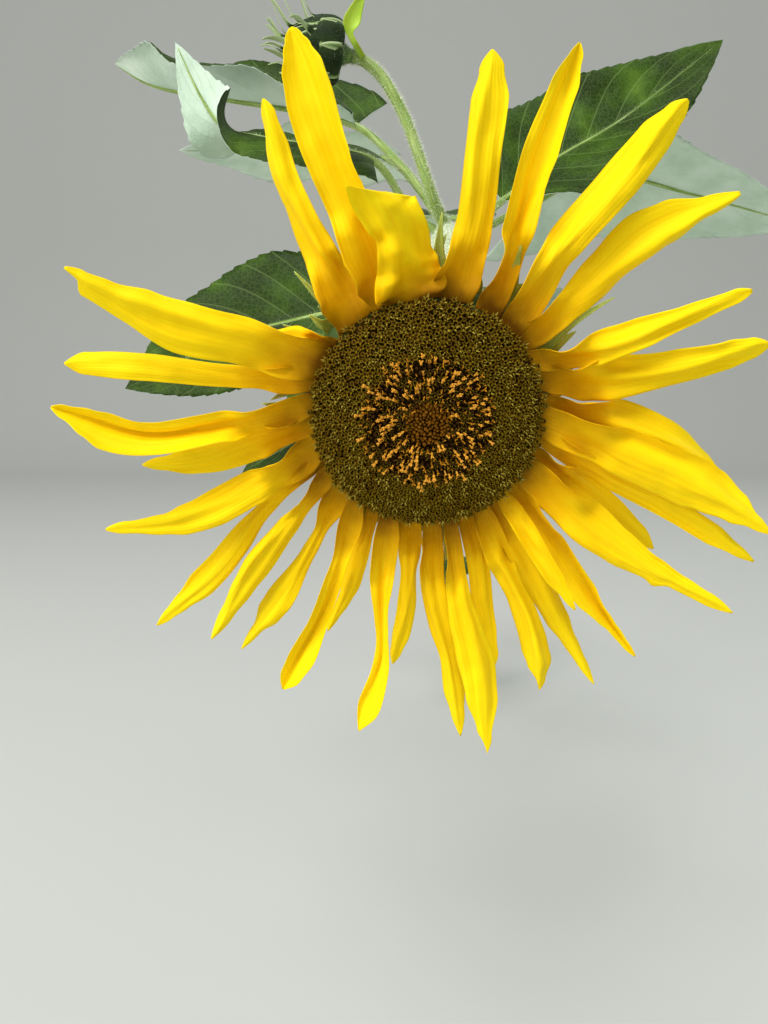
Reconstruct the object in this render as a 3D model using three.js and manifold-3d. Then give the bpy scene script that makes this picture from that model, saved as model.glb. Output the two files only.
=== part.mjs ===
// A sunflower plant in bloom: one arching stem, a nodding flower head, a bud and leaves on long stalks.
// Millimetres, +Z up. The origin is the middle of the stem's flat cut at ground level, and the flower
// faces -Y. Pieces that touch on the plant are kept a hair apart, so that each stays a solid of its own.
import * as THREE from "three";
import { mergeVertices } from "three/addons/utils/BufferGeometryUtils.js";
import Module from "manifold-3d";

const wasm = await Module();
wasm.setup();

// Driving dimensions

const CLEARANCE = 0.3;

// The stem rises plumb, bows over towards -Y and comes down a little to the node under the flower.
const STEM_PATH = [
  [0, 0, 0],
  [0, 0, 480],
  [-80, -640, 1010],
  [-190, -1360, 839],
];
const STEM_FOOT_RADIUS = 22;
const STEM_RADIUS = 15;
const STEM_NODE_RADIUS = 9.5;
const STEM_FLARE_HEIGHT = 28;
const STEM_SIDES = 10;
const STEM_STATIONS = 42;
// The station at which each length of the stem begins, so that none of them bends far.
const STEM_LENGTHS = { stem_foot: 0, stem_rise: 12, stem_bow: 22, stem_top: 32 };

// The flower head: its disc's middle, and how far its face nods below level.
const HEAD_CENTRE = [-210, -1487, 739];
const NOD = THREE.MathUtils.degToRad(17);
const DISC_RADIUS = 55;
const DISC_DOME = 14;
const DISC_LIP = 3.5;
const SEAT_DEPTH = 4;
const CUP_RADIUS = 58;
const CUP_DEPTH = 34;
const NECK_RADIUS = 10;
const NECK_STIFFNESS = 45;
const NECK_STATIONS = 8;
const DISC_LIP_HEIGHT = 4;
const DISC_WALL_TOP = 2;
const DISC_RINGS = 6;
const CUP_RIM_DEPTH = 9;
const CUP_RINGS = 5;
const CUP_SEAT_RADIUS = 53;
const CUP_EDGE_DEPTH = 7;
const HEAD_SEGMENTS = 32;

// Bracts behind the rays: two whorls that reach past the cup's rim.
const BRACTS = 20;
const BRACT_FOOT = 46;
const BRACT_REACH = [84, 78];
const BRACT_DEPTH = [10.5, 14];
const BRACT_WIDTH = 13;
const BRACT_THICKNESS = 1.4;
const BRACT_BOW = 2;
const BRACT_STATIONS = 3;

// Ray florets, as seen from the front and counted clockwise from the upper right.
// Columns: angle of the foot, angle of the tip, reach of the tip from the disc's middle, sideways
// bend at a third and at two thirds of the length, width, lift of the tip towards the viewer, roll of
// the blade at its tip, and the layer it lies in, from 0 at the back to 2 at the front.
// Angles are in degrees, anticlockwise from the viewer's right. Lengths are in millimetres.
const RAY_FLORETS = [
  [47, 52, 165, 4, 2, 18, -6, 0, 1],
  [37, 36, 162, 4, 8, 20, -4, 15, 0],
  [28, 22, 151, -4, -2, 16, 0, -15, 1],
  [18, 12, 157, -6, -5, 18, 4, 15, 0],
  [4, 345, 155, 7, 8, 22, 0, 0, 0],
  [358, 342, 173, 3, 5, 26, 12, 0, 2],
  [350, 336, 179, -1, 1, 18, 10, 10, 1],
  [339, 328, 140, 2, 2, 17, 0, 0, 0],
  [331, 328, 180, -5, -5, 24, 16, 0, 2],
  [328, 321, 94, 0, 0, 13, 4, 0, 0],
  [321, 311, 171, -1, -2, 18, 12, 10, 1],
  [314, 308, 124, 0, 0, 12, 10, 0, 2],
  [308, 302, 177, -1, -1, 17, 14, -10, 0],
  [301, 293, 161, 1, 5, 18, 10, 0, 1],
  [293, 286, 150, 1, -1, 14, 4, 0, 0],
  [284, 281, 179, -2, 2, 20, 24, 0, 2],
  [275, 277, 179, -5, -1, 18, 18, 0, 1],
  [262, 264, 145, 3, 4, 14, 4, 0, 0],
  [251, 259, 176, 1, 7, 16, 14, 10, 2],
  [242, 248, 135, 2, 3, 12, 0, 0, 0],
  [231, 244, 171, 4, 4, 18, 8, 0, 1],
  [221, 234, 166, 4, 4, 18, 4, 0, 0],
  [212, 228, 168, -2, -2, 15, 2, 0, 1],
  [204, 220, 185, -2, 2, 17, 4, 0, 0],
  [197, 200, 167, 8, 11, 19, 6, 10, 1],
  [187, 191, 140, 2, 5, 17, 2, 0, 0],
  [175, 178, 172, 9, 15, 17, 6, 10, 1],
  [162, 172, 168, 2, 0, 15, 2, 10, 0],
  [152, 156, 167, 3, 7, 23, 6, 0, 2],
  [143, 161, 98, -3, -1, 13, 0, 0, 1],
  [128, 118, 148, 3, 5, 14, -8, -20, 0],
  [111, 110, 165, 1, 2, 20, -10, 0, 1],
  [99, 103, 100, -2, -4, 26, 6, 25, 2],
  [79, 81, 150, -4, -3, 15, -10, -20, 0],
  [60, 69, 161, 0, 2, 14, -8, 20, 0],
];
const RAY_START = 52.2;
const RAY_THICKNESS = 1.4;
const RAY_LAYER_PITCH = 1.75;
const RAY_LAYER_SPREAD = 4;
const RAY_SPREAD_RUN = 40;
const RAY_SINK = 1;
const RAY_FOOT_SHARE = 0.42;
const RAY_CHANNEL = 0.16;
const RAY_OPENING = 0.42;
const RAY_TIP_POWER = 3;
const RAY_TIP_FULLNESS = 0.85;
const RAY_STATIONS = 8;
const RAY_COLUMNS = 2;

// The bud: where its stalk joins it, and the way it points.
const BUD_FOOT = [-249, -1351, 948];
const BUD_AXIS = [-0.98, -0.16, 0.12];
const BUD_LENGTH = 40;
const BUD_RADIUS = 18.5;
const BUD_SEGMENTS = 14;
// The bud's outline, as shares of its radius and of its length: a cup, then the closed scales.
const BUD_PROFILE = [
  [0, 0],
  [0.22, 0],
  [0.36, 0.12],
  [0.46, 0.21],
  [0.88, 0.24],
  [1, 0.36],
  [0.98, 0.52],
  [0.8, 0.75],
  [0.45, 0.93],
  [0, 1],
];
const BUD_BRACTS = 9;
const BUD_BRACT_WIDTH = 9;
const BUD_BRACT_STATIONS = 5;
// A bud bract's rib, in the same shares.
const BUD_BRACT_RIB = [
  [0.5, 0.4],
  [1.04, 0.42],
  [1.08, 0.75],
  [1.5, 1.12],
];
const BUD_STALK_RADIUS = 3.75;
const BUD_STALK_FOOT = 0.99;
const BUD_STALK_PATH = [
  [-200, -1358, 865],
  [-209, -1356, 891],
  [-218.5, -1354, 915],
  [-232, -1352, 937],
];
const BUD_LEAF_FOOT = 0.78;
const BUD_LEAF_WIDTH = 8.5;
const BUD_LEAF_STATIONS = 8;
const BUD_LEAF_RIB = [
  [-246.5, -1361, 950],
  [-250, -1362, 957],
  [-247.5, -1362, 966],
  [-241.5, -1358, 981],
];

// Leaves near the head. Each stalk leaves the stem at a share of its path and runs through its points
// to the first point of the rib. The face is the way that the blade's upper side looks, and tipFace
// the way that it looks at the tip. The lift is how steeply each half rises from the midrib at the foot,
// and tipLift at the tip. The half to the left of someone who looks along it to the tip comes first.
const LEAF_THICKNESS = 3;
const LEAF_LOBE = 0.16;
const LEAF_WIDEST = 0.3;
const LEAF_ROOT_SHARE = 0.55;
const LEAF_FULLNESS = 2.2;
const LEAF_BOW = 1.3;
const LEAF_STATIONS = 9;
const LEAF_COLUMNS = 4;
const STALK_RADIUS = 3.2;
const STALK_SIDES = 6;
const STALK_STATIONS = 8;
const STALK_END = 0.2;
const STALK_END_RADIUS = 2;
const UPPER_LEAVES = {
  leaf_left_high: {
    foot: 0.983,
    stalk: [[-200, -1304, 876], [-219, -1284, 905]],
    rib: [
      [-250, -1264, 937],
      [-291, -1256, 950],
      [-335, -1251, 958],
      [-378, -1248, 965],
      [-404, -1246, 972],
      [-427, -1243, 986],
    ],
    face: [0, -0.04, 1],
    tipFace: [0, 0.3, 1],
    width: 98,
    lift: [0.3, 1.3],
    tipLift: [0.3, 0.5],
    lobe: 0.04,
    fullness: 3.2,
  },
  leaf_left_curled: {
    foot: 0.975,
    stalk: [[-210, -1300, 868]],
    rib: [
      [-237, -1306, 902],
      [-279, -1314, 909],
      [-312, -1312, 915],
      [-335, -1311, 921],
      [-350, -1309, 940],
      [-366, -1307, 974],
    ],
    face: [0.1, -0.42, 0.9],
    tipFace: [0.15, 1, 0.1],
    width: 62,
    lift: [-0.4, 0],
    tipLift: [0, 0],
    lobe: 0.07,
  },
  leaf_left_back: {
    foot: 0.945,
    stalk: [[-200, -1225, 900]],
    rib: [[-232, -1199, 934], [-299, -1184, 944], [-397, -1185, 943]],
    face: [0, 0.1, 1],
    width: 88,
    lift: [0.05, -0.25],
    fullness: 2.8,
  },
  leaf_left_low: {
    foot: 0.994,
    stalk: [[-212, -1352, 822]],
    rib: [[-256, -1337, 803], [-326, -1328, 786], [-405, -1323, 751]],
    face: [-0.1, -0.9, 0.4],
    width: 96,
    lift: [0.2, 0.2],
  },
  leaf_left_hanging: {
    foot: 0.93,
    stalk: [[-205, -1222, 850]],
    rib: [[-230, -1236, 806], [-275, -1246, 730], [-344, -1234, 684]],
    face: [-0.6, -0.7, 0.4],
    width: 92,
    lift: [0.2, 0.2],
  },
  leaf_right_high: {
    foot: 0.985,
    stalk: [[-163, -1306, 864]],
    rib: [[-146, -1276, 883], [-108, -1261, 914], [-54, -1250, 947], [19, -1238, 1004]],
    face: [-0.15, -0.85, 0.5],
    width: 106,
    lift: [0.3, 0.3],
    lobe: -0.15,
    fullness: 2.6,
  },
  leaf_right_wide: {
    foot: 0.95,
    stalk: [[-150, -1232, 874]],
    rib: [[-120, -1212, 892], [-53, -1180, 926], [30, -1172, 912], [124, -1176, 886]],
    face: [0, 0.6, 0.8],
    width: 112,
    lift: [-0.2, -0.2],
  },
  leaf_back: {
    foot: 0.9,
    stalk: [[-158, -1168, 886]],
    rib: [[-170, -1150, 898], [-190, -1080, 914], [-205, -970, 908]],
    face: [0, -0.1, 1],
    width: 100,
    lift: [0.2, 0.2],
  },
};

// Leaves down the stem. Columns: share of the stem's path, heading of the stalk in degrees
// anticlockwise from +X, length of the stalk and length of the blade.
const LOWER_LEAVES = [
  [0.74, 58, 105, 160],
  [0.7, 208, 115, 175],
  [0.59, 305, 115, 190],
  [0.48, 148, 120, 200],
  [0.36, 62, 120, 205],
  [0.24, 248, 110, 190],
];
const LOWER_LEAF_SHAPE = 0.72;
const LOWER_STALK_RISE = 0.6;
const LOWER_LEAF_DROOP = 0.42;
const LOWER_LEAF_LIFT = [0.2, 0.2];

const materials = {
  stem: new THREE.MeshStandardMaterial({ color: 0x8fa765, roughness: 0.75, metalness: 0 }),
  leaf: new THREE.MeshStandardMaterial({ color: 0x3f6a2c, roughness: 0.6, metalness: 0 }),
  bract: new THREE.MeshStandardMaterial({ color: 0x93a83c, roughness: 0.65, metalness: 0 }),
  bud: new THREE.MeshStandardMaterial({ color: 0x4f6b34, roughness: 0.7, metalness: 0 }),
  ray: new THREE.MeshStandardMaterial({ color: 0xf5c400, roughness: 0.5, metalness: 0 }),
  disc: new THREE.MeshStandardMaterial({ color: 0x4a3a12, roughness: 0.9, metalness: 0 }),
};

// Small helpers

const vector = (xyz) => new THREE.Vector3(...xyz);

const smoothCurve = (points) => new THREE.CatmullRomCurve3(points, false, "catmullrom", 0.5);

// The part of a direction that is square to another one, at unit length.
function squareTo(along, direction) {
  return direction.clone().addScaledVector(along, -direction.dot(along)).normalize();
}

// A closed skin through rings of points. Each ring has the same even count, and runs anticlockwise
// for someone who looks back along the path. The ends are closed by rungs across the ring.
function loft(rings) {
  const count = rings[0].length;
  const last = (rings.length - 1) * count;
  const faces = [];
  const quad = (a, b, c, d) => faces.push(a, b, c, a, c, d);
  for (let k = 0; k < last; k += count) {
    for (let i = 0; i < count; i++) {
      const j = (i + 1) % count;
      quad(k + i, k + j, k + count + j, k + count + i);
    }
  }
  for (let i = 0; i < count / 2 - 1; i++) {
    quad(i, count - 1 - i, count - 2 - i, i + 1);
    quad(last + i, last + i + 1, last + count - 2 - i, last + count - 1 - i);
  }
  return new THREE.BufferGeometry().setFromPoints(rings.flat()).setIndex(faces);
}

// A tapering limb round a curve, from one share of it to another.
function limb({ curve, from = 0, to = 1, steps, sides, radius, hint }) {
  const rings = [];
  for (let k = 0; k <= steps; k++) {
    const t = from + ((to - from) * k) / steps;
    const centre = curve.getPoint(t);
    const along = curve.getTangent(t);
    const up = squareTo(along, hint);
    const side = up.clone().cross(along);
    const ring = [];
    for (let i = 0; i < sides; i++) {
      const turn = (2 * Math.PI * i) / sides;
      ring.push(
        centre
          .clone()
          .addScaledVector(side, radius(t) * Math.cos(turn))
          .addScaledVector(up, radius(t) * Math.sin(turn)),
      );
    }
    rings.push(ring);
  }
  return loft(rings);
}

// A thin blade along its rib. At each station halfWidth gives the half width at side share v, face the
// way that the upper side looks, rise how far the point there stands over the rib, sweep how far back
// towards the foot it lies, and slope how steeply the blade rises there, which turns its thickness.
function blade({ rib, face, halfWidth, rise, thickness, stations, columns, foot, ...rest }) {
  const { sweep = () => 0, slope = () => 0 } = rest;
  const rings = [];
  for (let k = 0; k <= stations; k++) {
    const s = k / stations;
    const along = k === 0 && foot ? foot : rib.getTangent(s);
    const up = squareTo(along, face(s, along));
    const side = up.clone().cross(along);
    const top = [];
    const bottom = [];
    for (let j = 0; j <= columns; j++) {
      const v = 1 - (2 * j) / columns;
      const point = rib
        .getPoint(s)
        .addScaledVector(side, v * halfWidth(s, v))
        .addScaledVector(up, rise(s, v))
        .addScaledVector(along, -sweep(s, v));
      const way = up.clone().addScaledVector(side, -Math.sign(v) * slope(s, v)).normalize();
      top.push(point.clone().addScaledVector(way, thickness / 2));
      bottom.unshift(point.clone().addScaledVector(way, -thickness / 2));
    }
    rings.push([...top, ...bottom]);
  }
  return loft(rings);
}

// A turned form about +Z, from its profile of [radius, height] points.
function turned(profile, segments) {
  const points = profile.map(([radius, height]) => new THREE.Vector2(radius, height));
  return new THREE.LatheGeometry(points, segments).rotateX(Math.PI / 2);
}

function solid(geometry) {
  const bare = geometry.clone();
  bare.deleteAttribute("normal");
  bare.deleteAttribute("uv");
  const merged = mergeVertices(bare, 1e-4);
  const vertProperties = merged.attributes.position.array;
  const triVerts = new Uint32Array(merged.index.array);
  return new wasm.Manifold(new wasm.Mesh({ numProp: 3, vertProperties, triVerts }));
}

function geometryOf(manifold) {
  const mesh = manifold.getMesh();
  return new THREE.BufferGeometry()
    .setAttribute("position", new THREE.BufferAttribute(mesh.vertProperties, 3))
    .setIndex(new THREE.BufferAttribute(mesh.triVerts, 1));
}

const fuse = (geometries) => geometries.map(solid).reduce((a, b) => a.add(b));

function add(parent, name, geometry, material) {
  const mesh = new THREE.Mesh(geometry, material);
  mesh.name = name;
  parent.add(mesh);
}

const plant = new THREE.Group();

// Stem: four lengths of one tapering limb, with a flared foot on the ground

const ACROSS = new THREE.Vector3(1, 0, 0);
const stemCurve = new THREE.CubicBezierCurve3(...STEM_PATH.map(vector));
const stemGap = CLEARANCE / stemCurve.getLength();

function stemRadius(t) {
  const taper = THREE.MathUtils.lerp(STEM_RADIUS, STEM_NODE_RADIUS, t);
  const flare = STEM_FOOT_RADIUS - STEM_RADIUS;
  return taper + flare * Math.exp(-(t * stemCurve.getLength()) / STEM_FLARE_HEIGHT);
}

const stem = (from, to, steps, spare) =>
  limb({
    curve: stemCurve,
    from,
    to,
    steps,
    sides: STEM_SIDES,
    radius: (t) => stemRadius(t) + spare,
    hint: ACROSS,
  });

const stemStarts = [...Object.values(STEM_LENGTHS), STEM_STATIONS];
Object.keys(STEM_LENGTHS).forEach((name, i) => {
  const [first, last] = [stemStarts[i], stemStarts[i + 1]];
  const gap = i ? stemGap : 0;
  const length = stem(first / STEM_STATIONS + gap, last / STEM_STATIONS, last - first, 0);
  add(plant, name, length, materials.stem);
});

// Neck: from the node at the stem's top down to the back of the flower head

const headCentre = vector(HEAD_CENTRE);
const backward = new THREE.Vector3(0, Math.cos(NOD), Math.sin(NOD));
const node = stemCurve.getPoint(1);
const neckEnd = headCentre.clone().addScaledVector(backward, CUP_DEPTH + CLEARANCE);
const neckCurve = new THREE.CubicBezierCurve3(
  node,
  node.clone().addScaledVector(stemCurve.getTangent(1), NECK_STIFFNESS),
  neckEnd.clone().addScaledVector(backward, NECK_STIFFNESS),
  neckEnd,
);

const neck = (from, spare) =>
  limb({
    curve: neckCurve,
    from,
    steps: NECK_STATIONS,
    sides: STEM_SIDES,
    radius: (t) => THREE.MathUtils.lerp(STEM_NODE_RADIUS, NECK_RADIUS, t) + spare,
    hint: ACROSS,
  });

add(plant, "neck", neck(CLEARANCE / neckCurve.getLength(), 0), materials.stem);

// What a stalk is cut clear of where it leaves the stem.
const roundStem = solid(stem(0, 1, STEM_STATIONS, CLEARANCE)).add(solid(neck(0, CLEARANCE)));

// Flower head: everything on it is placed about its disc's middle, with +Z out of its face

const head = new THREE.Group();
head.position.copy(headCentre);
head.rotation.x = Math.PI / 2 + NOD;
plant.add(head);

const FORWARD = new THREE.Vector3(0, 0, 1);

function polar(degrees, radius, height) {
  const angle = THREE.MathUtils.degToRad(degrees);
  return new THREE.Vector3(radius * Math.cos(angle), radius * Math.sin(angle), height);
}

// A quarter of an ellipse, as profile points.
function quarterArc(steps, radius, height) {
  return Array.from({ length: steps + 1 }, (_, k) => {
    const a = (k / steps) * (Math.PI / 2);
    return [radius(Math.sin(a)), height(Math.cos(a))];
  });
}

function seedDisc() {
  const wall = DISC_RADIUS - DISC_LIP;
  const dome = quarterArc(
    DISC_RINGS,
    (across) => DISC_RADIUS * across,
    (up) => DISC_LIP_HEIGHT + (DISC_DOME - DISC_LIP_HEIGHT) * up,
  );
  const seat = [[0, -SEAT_DEPTH], [wall, -SEAT_DEPTH], [wall, DISC_WALL_TOP]];
  return turned([...seat, ...dome.reverse()], HEAD_SEGMENTS);
}

function bract(i) {
  const whorl = i % BRACT_REACH.length;
  const angle = (360 * i) / BRACTS;
  const depth = -BRACT_DEPTH[whorl];
  const rib = smoothCurve([
    polar(angle, BRACT_FOOT, depth - BRACT_BOW),
    polar(angle, CUP_RADIUS, depth),
    polar(angle, BRACT_REACH[whorl], depth + BRACT_BOW),
  ]);
  return blade({
    rib,
    face: () => FORWARD,
    halfWidth: (s) => (BRACT_WIDTH / 2) * Math.sqrt(1 - s * s) + BRACT_THICKNESS / 2,
    rise: () => 0,
    thickness: BRACT_THICKNESS,
    stations: BRACT_STATIONS,
    columns: 1,
  });
}

function receptacle() {
  const cup = quarterArc(
    CUP_RINGS,
    (across) => NECK_RADIUS + (CUP_RADIUS - NECK_RADIUS) * across,
    (up) => -CUP_RIM_DEPTH - (CUP_DEPTH - CUP_RIM_DEPTH) * up,
  );
  const top = -SEAT_DEPTH - CLEARANCE;
  const edge = [[CUP_RADIUS, -CUP_EDGE_DEPTH], [CUP_SEAT_RADIUS, top], [0, top]];
  const body = turned([[0, -CUP_DEPTH], ...cup, ...edge], HEAD_SEGMENTS);
  const bracts = Array.from({ length: BRACTS }, (_, i) => bract(i));
  return geometryOf(fuse([body, ...bracts]));
}

add(head, "seed_disc", seedDisc(), materials.disc);
add(head, "receptacle", receptacle(), materials.bract);

function rayFloret([foot, tip, reach, bendIn, bendOut, width, lift, roll, layer]) {
  const seat = -SEAT_DEPTH + RAY_THICKNESS / 2 + layer * RAY_LAYER_PITCH;
  const start = polar(foot, RAY_START, seat);
  const reachOut = polar(tip, reach, seat).sub(start);
  const aside = new THREE.Vector3(-reachOut.y, reachOut.x, 0).normalize();
  const through = (share, bend) => {
    const run = Math.min(1, (reachOut.length() * share) / RAY_SPREAD_RUN);
    const rise = (layer * RAY_LAYER_SPREAD - RAY_SINK) * run + lift * share * share;
    return start.clone().addScaledVector(reachOut, share).addScaledVector(aside, bend).setZ(seat + rise);
  };
  const rib = smoothCurve([start, through(1 / 3, bendIn), through(2 / 3, bendOut), through(1, 0)]);
  return blade({
    rib,
    foot: polar(foot, 1, 0),
    face: (s, along) => FORWARD.clone().applyAxisAngle(along, THREE.MathUtils.degToRad(roll * s)),
    halfWidth: (s) => (width / 2) * rayOutline(s) + RAY_THICKNESS / 2,
    rise: (s, v) => width * RAY_CHANNEL * v * v * Math.sin(Math.PI * s),
    thickness: RAY_THICKNESS,
    stations: RAY_STATIONS,
    columns: RAY_COLUMNS,
  });
}

// Width of a ray along its length: narrow at the foot, full in the middle, drawn to a blunt tip.
function rayOutline(s) {
  const opening = THREE.MathUtils.smoothstep(s, 0, RAY_OPENING);
  const tip = (1 - s ** RAY_TIP_POWER) ** RAY_TIP_FULLNESS;
  return THREE.MathUtils.lerp(RAY_FOOT_SHARE, 1, opening) * tip;
}

RAY_FLORETS.forEach((row, i) => {
  add(head, `ray_${String(i + 1).padStart(2, "0")}`, rayFloret(row), materials.ray);
});

// Bud: a closed green head at the end of its own stalk, with curled bracts round it

const budAxis = vector(BUD_AXIS).normalize();
const budFoot = vector(BUD_FOOT);

function bud() {
  const body = BUD_PROFILE.map(([radius, height]) => [radius * BUD_RADIUS, height * BUD_LENGTH]);
  const pieces = [turned(body, BUD_SEGMENTS)];
  const turn = new THREE.Quaternion().setFromUnitVectors(FORWARD, budAxis);
  const skyward = FORWARD.clone().applyQuaternion(turn.clone().invert());
  const first = THREE.MathUtils.radToDeg(Math.atan2(skyward.y, skyward.x));
  for (let i = 0; i < BUD_BRACTS; i++) {
    const angle = first + (360 * i) / BUD_BRACTS;
    const out = ([radius, height]) => polar(angle, radius * BUD_RADIUS, height * BUD_LENGTH);
    pieces.push(
      blade({
        rib: smoothCurve(BUD_BRACT_RIB.map(out)),
        face: () => polar(angle, -1, 0.2),
        halfWidth: (s) => BUD_BRACT_WIDTH * (0.55 - 0.5 * s),
        rise: () => 0,
        thickness: BRACT_THICKNESS,
        stations: BUD_BRACT_STATIONS,
        columns: 1,
      }),
    );
  }
  return geometryOf(fuse(pieces)).applyQuaternion(turn).translate(...BUD_FOOT);
}

const budStalkCurve = smoothCurve([
  stemCurve.getPoint(BUD_STALK_FOOT),
  ...BUD_STALK_PATH.map(vector),
  budFoot.clone().addScaledVector(budAxis, -BUD_STALK_RADIUS),
  budFoot.clone().addScaledVector(budAxis, -CLEARANCE),
]);

const budStalk = (spare) =>
  solid(
    limb({
      curve: budStalkCurve,
      steps: STALK_STATIONS,
      sides: STALK_SIDES,
      radius: () => BUD_STALK_RADIUS + spare,
      hint: ACROSS,
    }),
  );

const budLeaf = blade({
  rib: smoothCurve([budStalkCurve.getPoint(BUD_LEAF_FOOT), ...BUD_LEAF_RIB.map(vector)]),
  face: () => new THREE.Vector3(0, -1, 0),
  halfWidth: (s) => BUD_LEAF_WIDTH * (0.15 + 0.35 * Math.sin(Math.PI * s ** 0.8)),
  rise: () => 0,
  thickness: BRACT_THICKNESS,
  stations: BUD_LEAF_STATIONS,
  columns: 2,
});

add(plant, "bud", bud(), materials.bud);
add(plant, "bud_stalk", geometryOf(budStalk(0).subtract(roundStem)), materials.stem);
add(plant, "bud_leaf", geometryOf(solid(budLeaf).subtract(budStalk(CLEARANCE))), materials.bract);

// Leaves: each is one heart-shaped blade fused to its stalk, which runs on as the blade's midrib

// Width of a leaf along its rib: broad lobes at the root, widest a third of the way, a drawn-out tip.
function leafOutline(s, fullness) {
  if (s < LEAF_WIDEST) {
    return THREE.MathUtils.lerp(LEAF_ROOT_SHARE, 1, Math.sin((Math.PI / 2) * (s / LEAF_WIDEST)));
  }
  return 1 - ((s - LEAF_WIDEST) / (1 - LEAF_WIDEST)) ** fullness;
}

function leaf({ foot, stalk, rib, face, width, lift, ...rest }) {
  const { tipFace = face, tipLift = lift, lobe = LEAF_LOBE, fullness = LEAF_FULLNESS } = rest;
  const points = [stemCurve.getPoint(foot), ...stalk, ...rib];
  const curve = smoothCurve(points);
  const root = (1 + stalk.length) / (points.length - 1);
  const onRib = (s) => THREE.MathUtils.lerp(root, 1, s);
  const upper = vector(face).normalize();
  const upperAtTip = vector(tipFace).normalize();
  const length = rib[0].distanceTo(rib.at(-1));
  const half = (s) => (width / 2) * leafOutline(s, fullness);
  const slope = (s, v) => THREE.MathUtils.lerp(lift[v < 0 ? 1 : 0], tipLift[v < 0 ? 1 : 0], s);
  const kept = (s, v) => 1 / Math.hypot(1, slope(s, v));
  const flat = blade({
    rib: { getPoint: (s) => curve.getPoint(onRib(s)), getTangent: (s) => curve.getTangent(onRib(s)) },
    face: (s) => upper.clone().lerp(upperAtTip, THREE.MathUtils.smoothstep(s, 0.4, 0.8)),
    halfWidth: (s, v) => half(s) * kept(s, v) + LEAF_THICKNESS / 2,
    rise: (s, v) => slope(s, v) * kept(s, v) * half(s) * Math.abs(v) ** LEAF_BOW,
    slope,
    sweep: (s, v) => lobe * length * v * v * Math.max(0, 1 - s / LEAF_WIDEST) ** 2,
    thickness: LEAF_THICKNESS,
    stations: LEAF_STATIONS,
    columns: LEAF_COLUMNS,
  });
  const midrib = limb({
    curve,
    to: onRib(STALK_END),
    steps: STALK_STATIONS,
    sides: STALK_SIDES,
    radius: (t) => THREE.MathUtils.lerp(STALK_RADIUS, STALK_END_RADIUS, t),
    hint: upper,
  });
  return geometryOf(fuse([flat, midrib]).subtract(roundStem));
}

for (const [name, shape] of Object.entries(UPPER_LEAVES)) {
  const placed = { ...shape, stalk: shape.stalk.map(vector), rib: shape.rib.map(vector) };
  add(plant, name, leaf(placed), materials.leaf);
}

LOWER_LEAVES.forEach(([foot, heading, stalkLength, length], i) => {
  const out = polar(heading, 1, 0);
  const from = stemCurve.getPoint(foot);
  const step = (start, distance, slope) => {
    const way = out.clone().setZ(slope).normalize();
    return start.clone().addScaledVector(way, distance);
  };
  const bend = step(from, stalkLength / 2, LOWER_STALK_RISE);
  const root = step(bend, stalkLength / 2, LOWER_STALK_RISE / 2);
  const middle = step(root, length / 2, 0);
  const tip = step(middle, length / 2, -LOWER_LEAF_DROOP);
  const shape = { foot, stalk: [bend], rib: [root, middle, tip], face: [0, 0, 1], lift: LOWER_LEAF_LIFT };
  add(plant, `leaf_low_${i + 1}`, leaf({ ...shape, width: length * LOWER_LEAF_SHAPE }), materials.leaf);
});

export default plant;
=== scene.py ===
# A sunflower plant in bloom. Metres, +Z up, the flower faces -Y. The plant's own sizes are written in
# millimetres, as its solid model has them, and turned to metres where a mesh is made.
import math
import random
import bpy
import numpy as np
from mathutils import Matrix, Vector, noise


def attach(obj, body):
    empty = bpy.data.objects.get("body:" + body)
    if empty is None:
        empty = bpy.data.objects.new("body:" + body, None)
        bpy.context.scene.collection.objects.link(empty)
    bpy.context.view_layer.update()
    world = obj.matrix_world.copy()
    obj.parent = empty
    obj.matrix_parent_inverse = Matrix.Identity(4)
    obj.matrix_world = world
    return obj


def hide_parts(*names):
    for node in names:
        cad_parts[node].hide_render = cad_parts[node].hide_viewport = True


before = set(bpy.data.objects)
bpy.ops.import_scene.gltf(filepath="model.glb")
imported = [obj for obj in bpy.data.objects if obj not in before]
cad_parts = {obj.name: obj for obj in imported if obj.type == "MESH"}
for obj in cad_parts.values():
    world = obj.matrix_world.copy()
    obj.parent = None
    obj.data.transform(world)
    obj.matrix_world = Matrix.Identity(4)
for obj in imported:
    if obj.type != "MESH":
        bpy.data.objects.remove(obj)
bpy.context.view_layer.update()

# Studio: a camera at the photograph's viewing angle, a pale floor that curves up into a pale wall
# behind the plant, and soft light as under a bright overcast sky.
PHOTO_LONG_SIDE = 1024
FOCAL_PIXELS = 769
SENSOR_WIDTH = 36.0
CAMERA_PLACE = (-0.230, -1.850, 0.750)
CAMERA_TILT = 81
FLOOR_HALF_WIDTH = 9.0
FLOOR_FRONT = -7.0
FLOOR_BACK = 5.0
WALL_CURVE = 2.5
WALL_HEIGHT = 8.0
WALL_STEPS = 16
FLOOR_COLOUR = "#C2C4BF"
SKY_COLOUR = "#F3F5F4"
SKY_STRENGTH = 0.6
# Place, size in metres, power in watts and colour of each light, which faces the flower head.
LIGHTS = {
    "overhead_softbox": ((-1.8, -5.0, 6.0), 3.0, 335, "#FFFFFF"),
    "side_softbox": ((-5.0, -4.0, 2.5), 2.5, 150, "#FFFAF2"),
    "rim_softbox": ((3.0, 1.5, 5.0), 3.0, 60, "#F2F7FF"),
}
LIGHT_TARGET = (-0.21, -1.42, 0.78)


def colour(code):
    """An sRGB hex colour as the linear colour that shaders take."""
    channels = [int(code[i:i + 2], 16) / 255 for i in (1, 3, 5)]
    linear = [c / 12.92 if c <= 0.04045 else ((c + 0.055) / 1.055) ** 2.4 for c in channels]
    return (*linear, 1.0)


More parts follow.
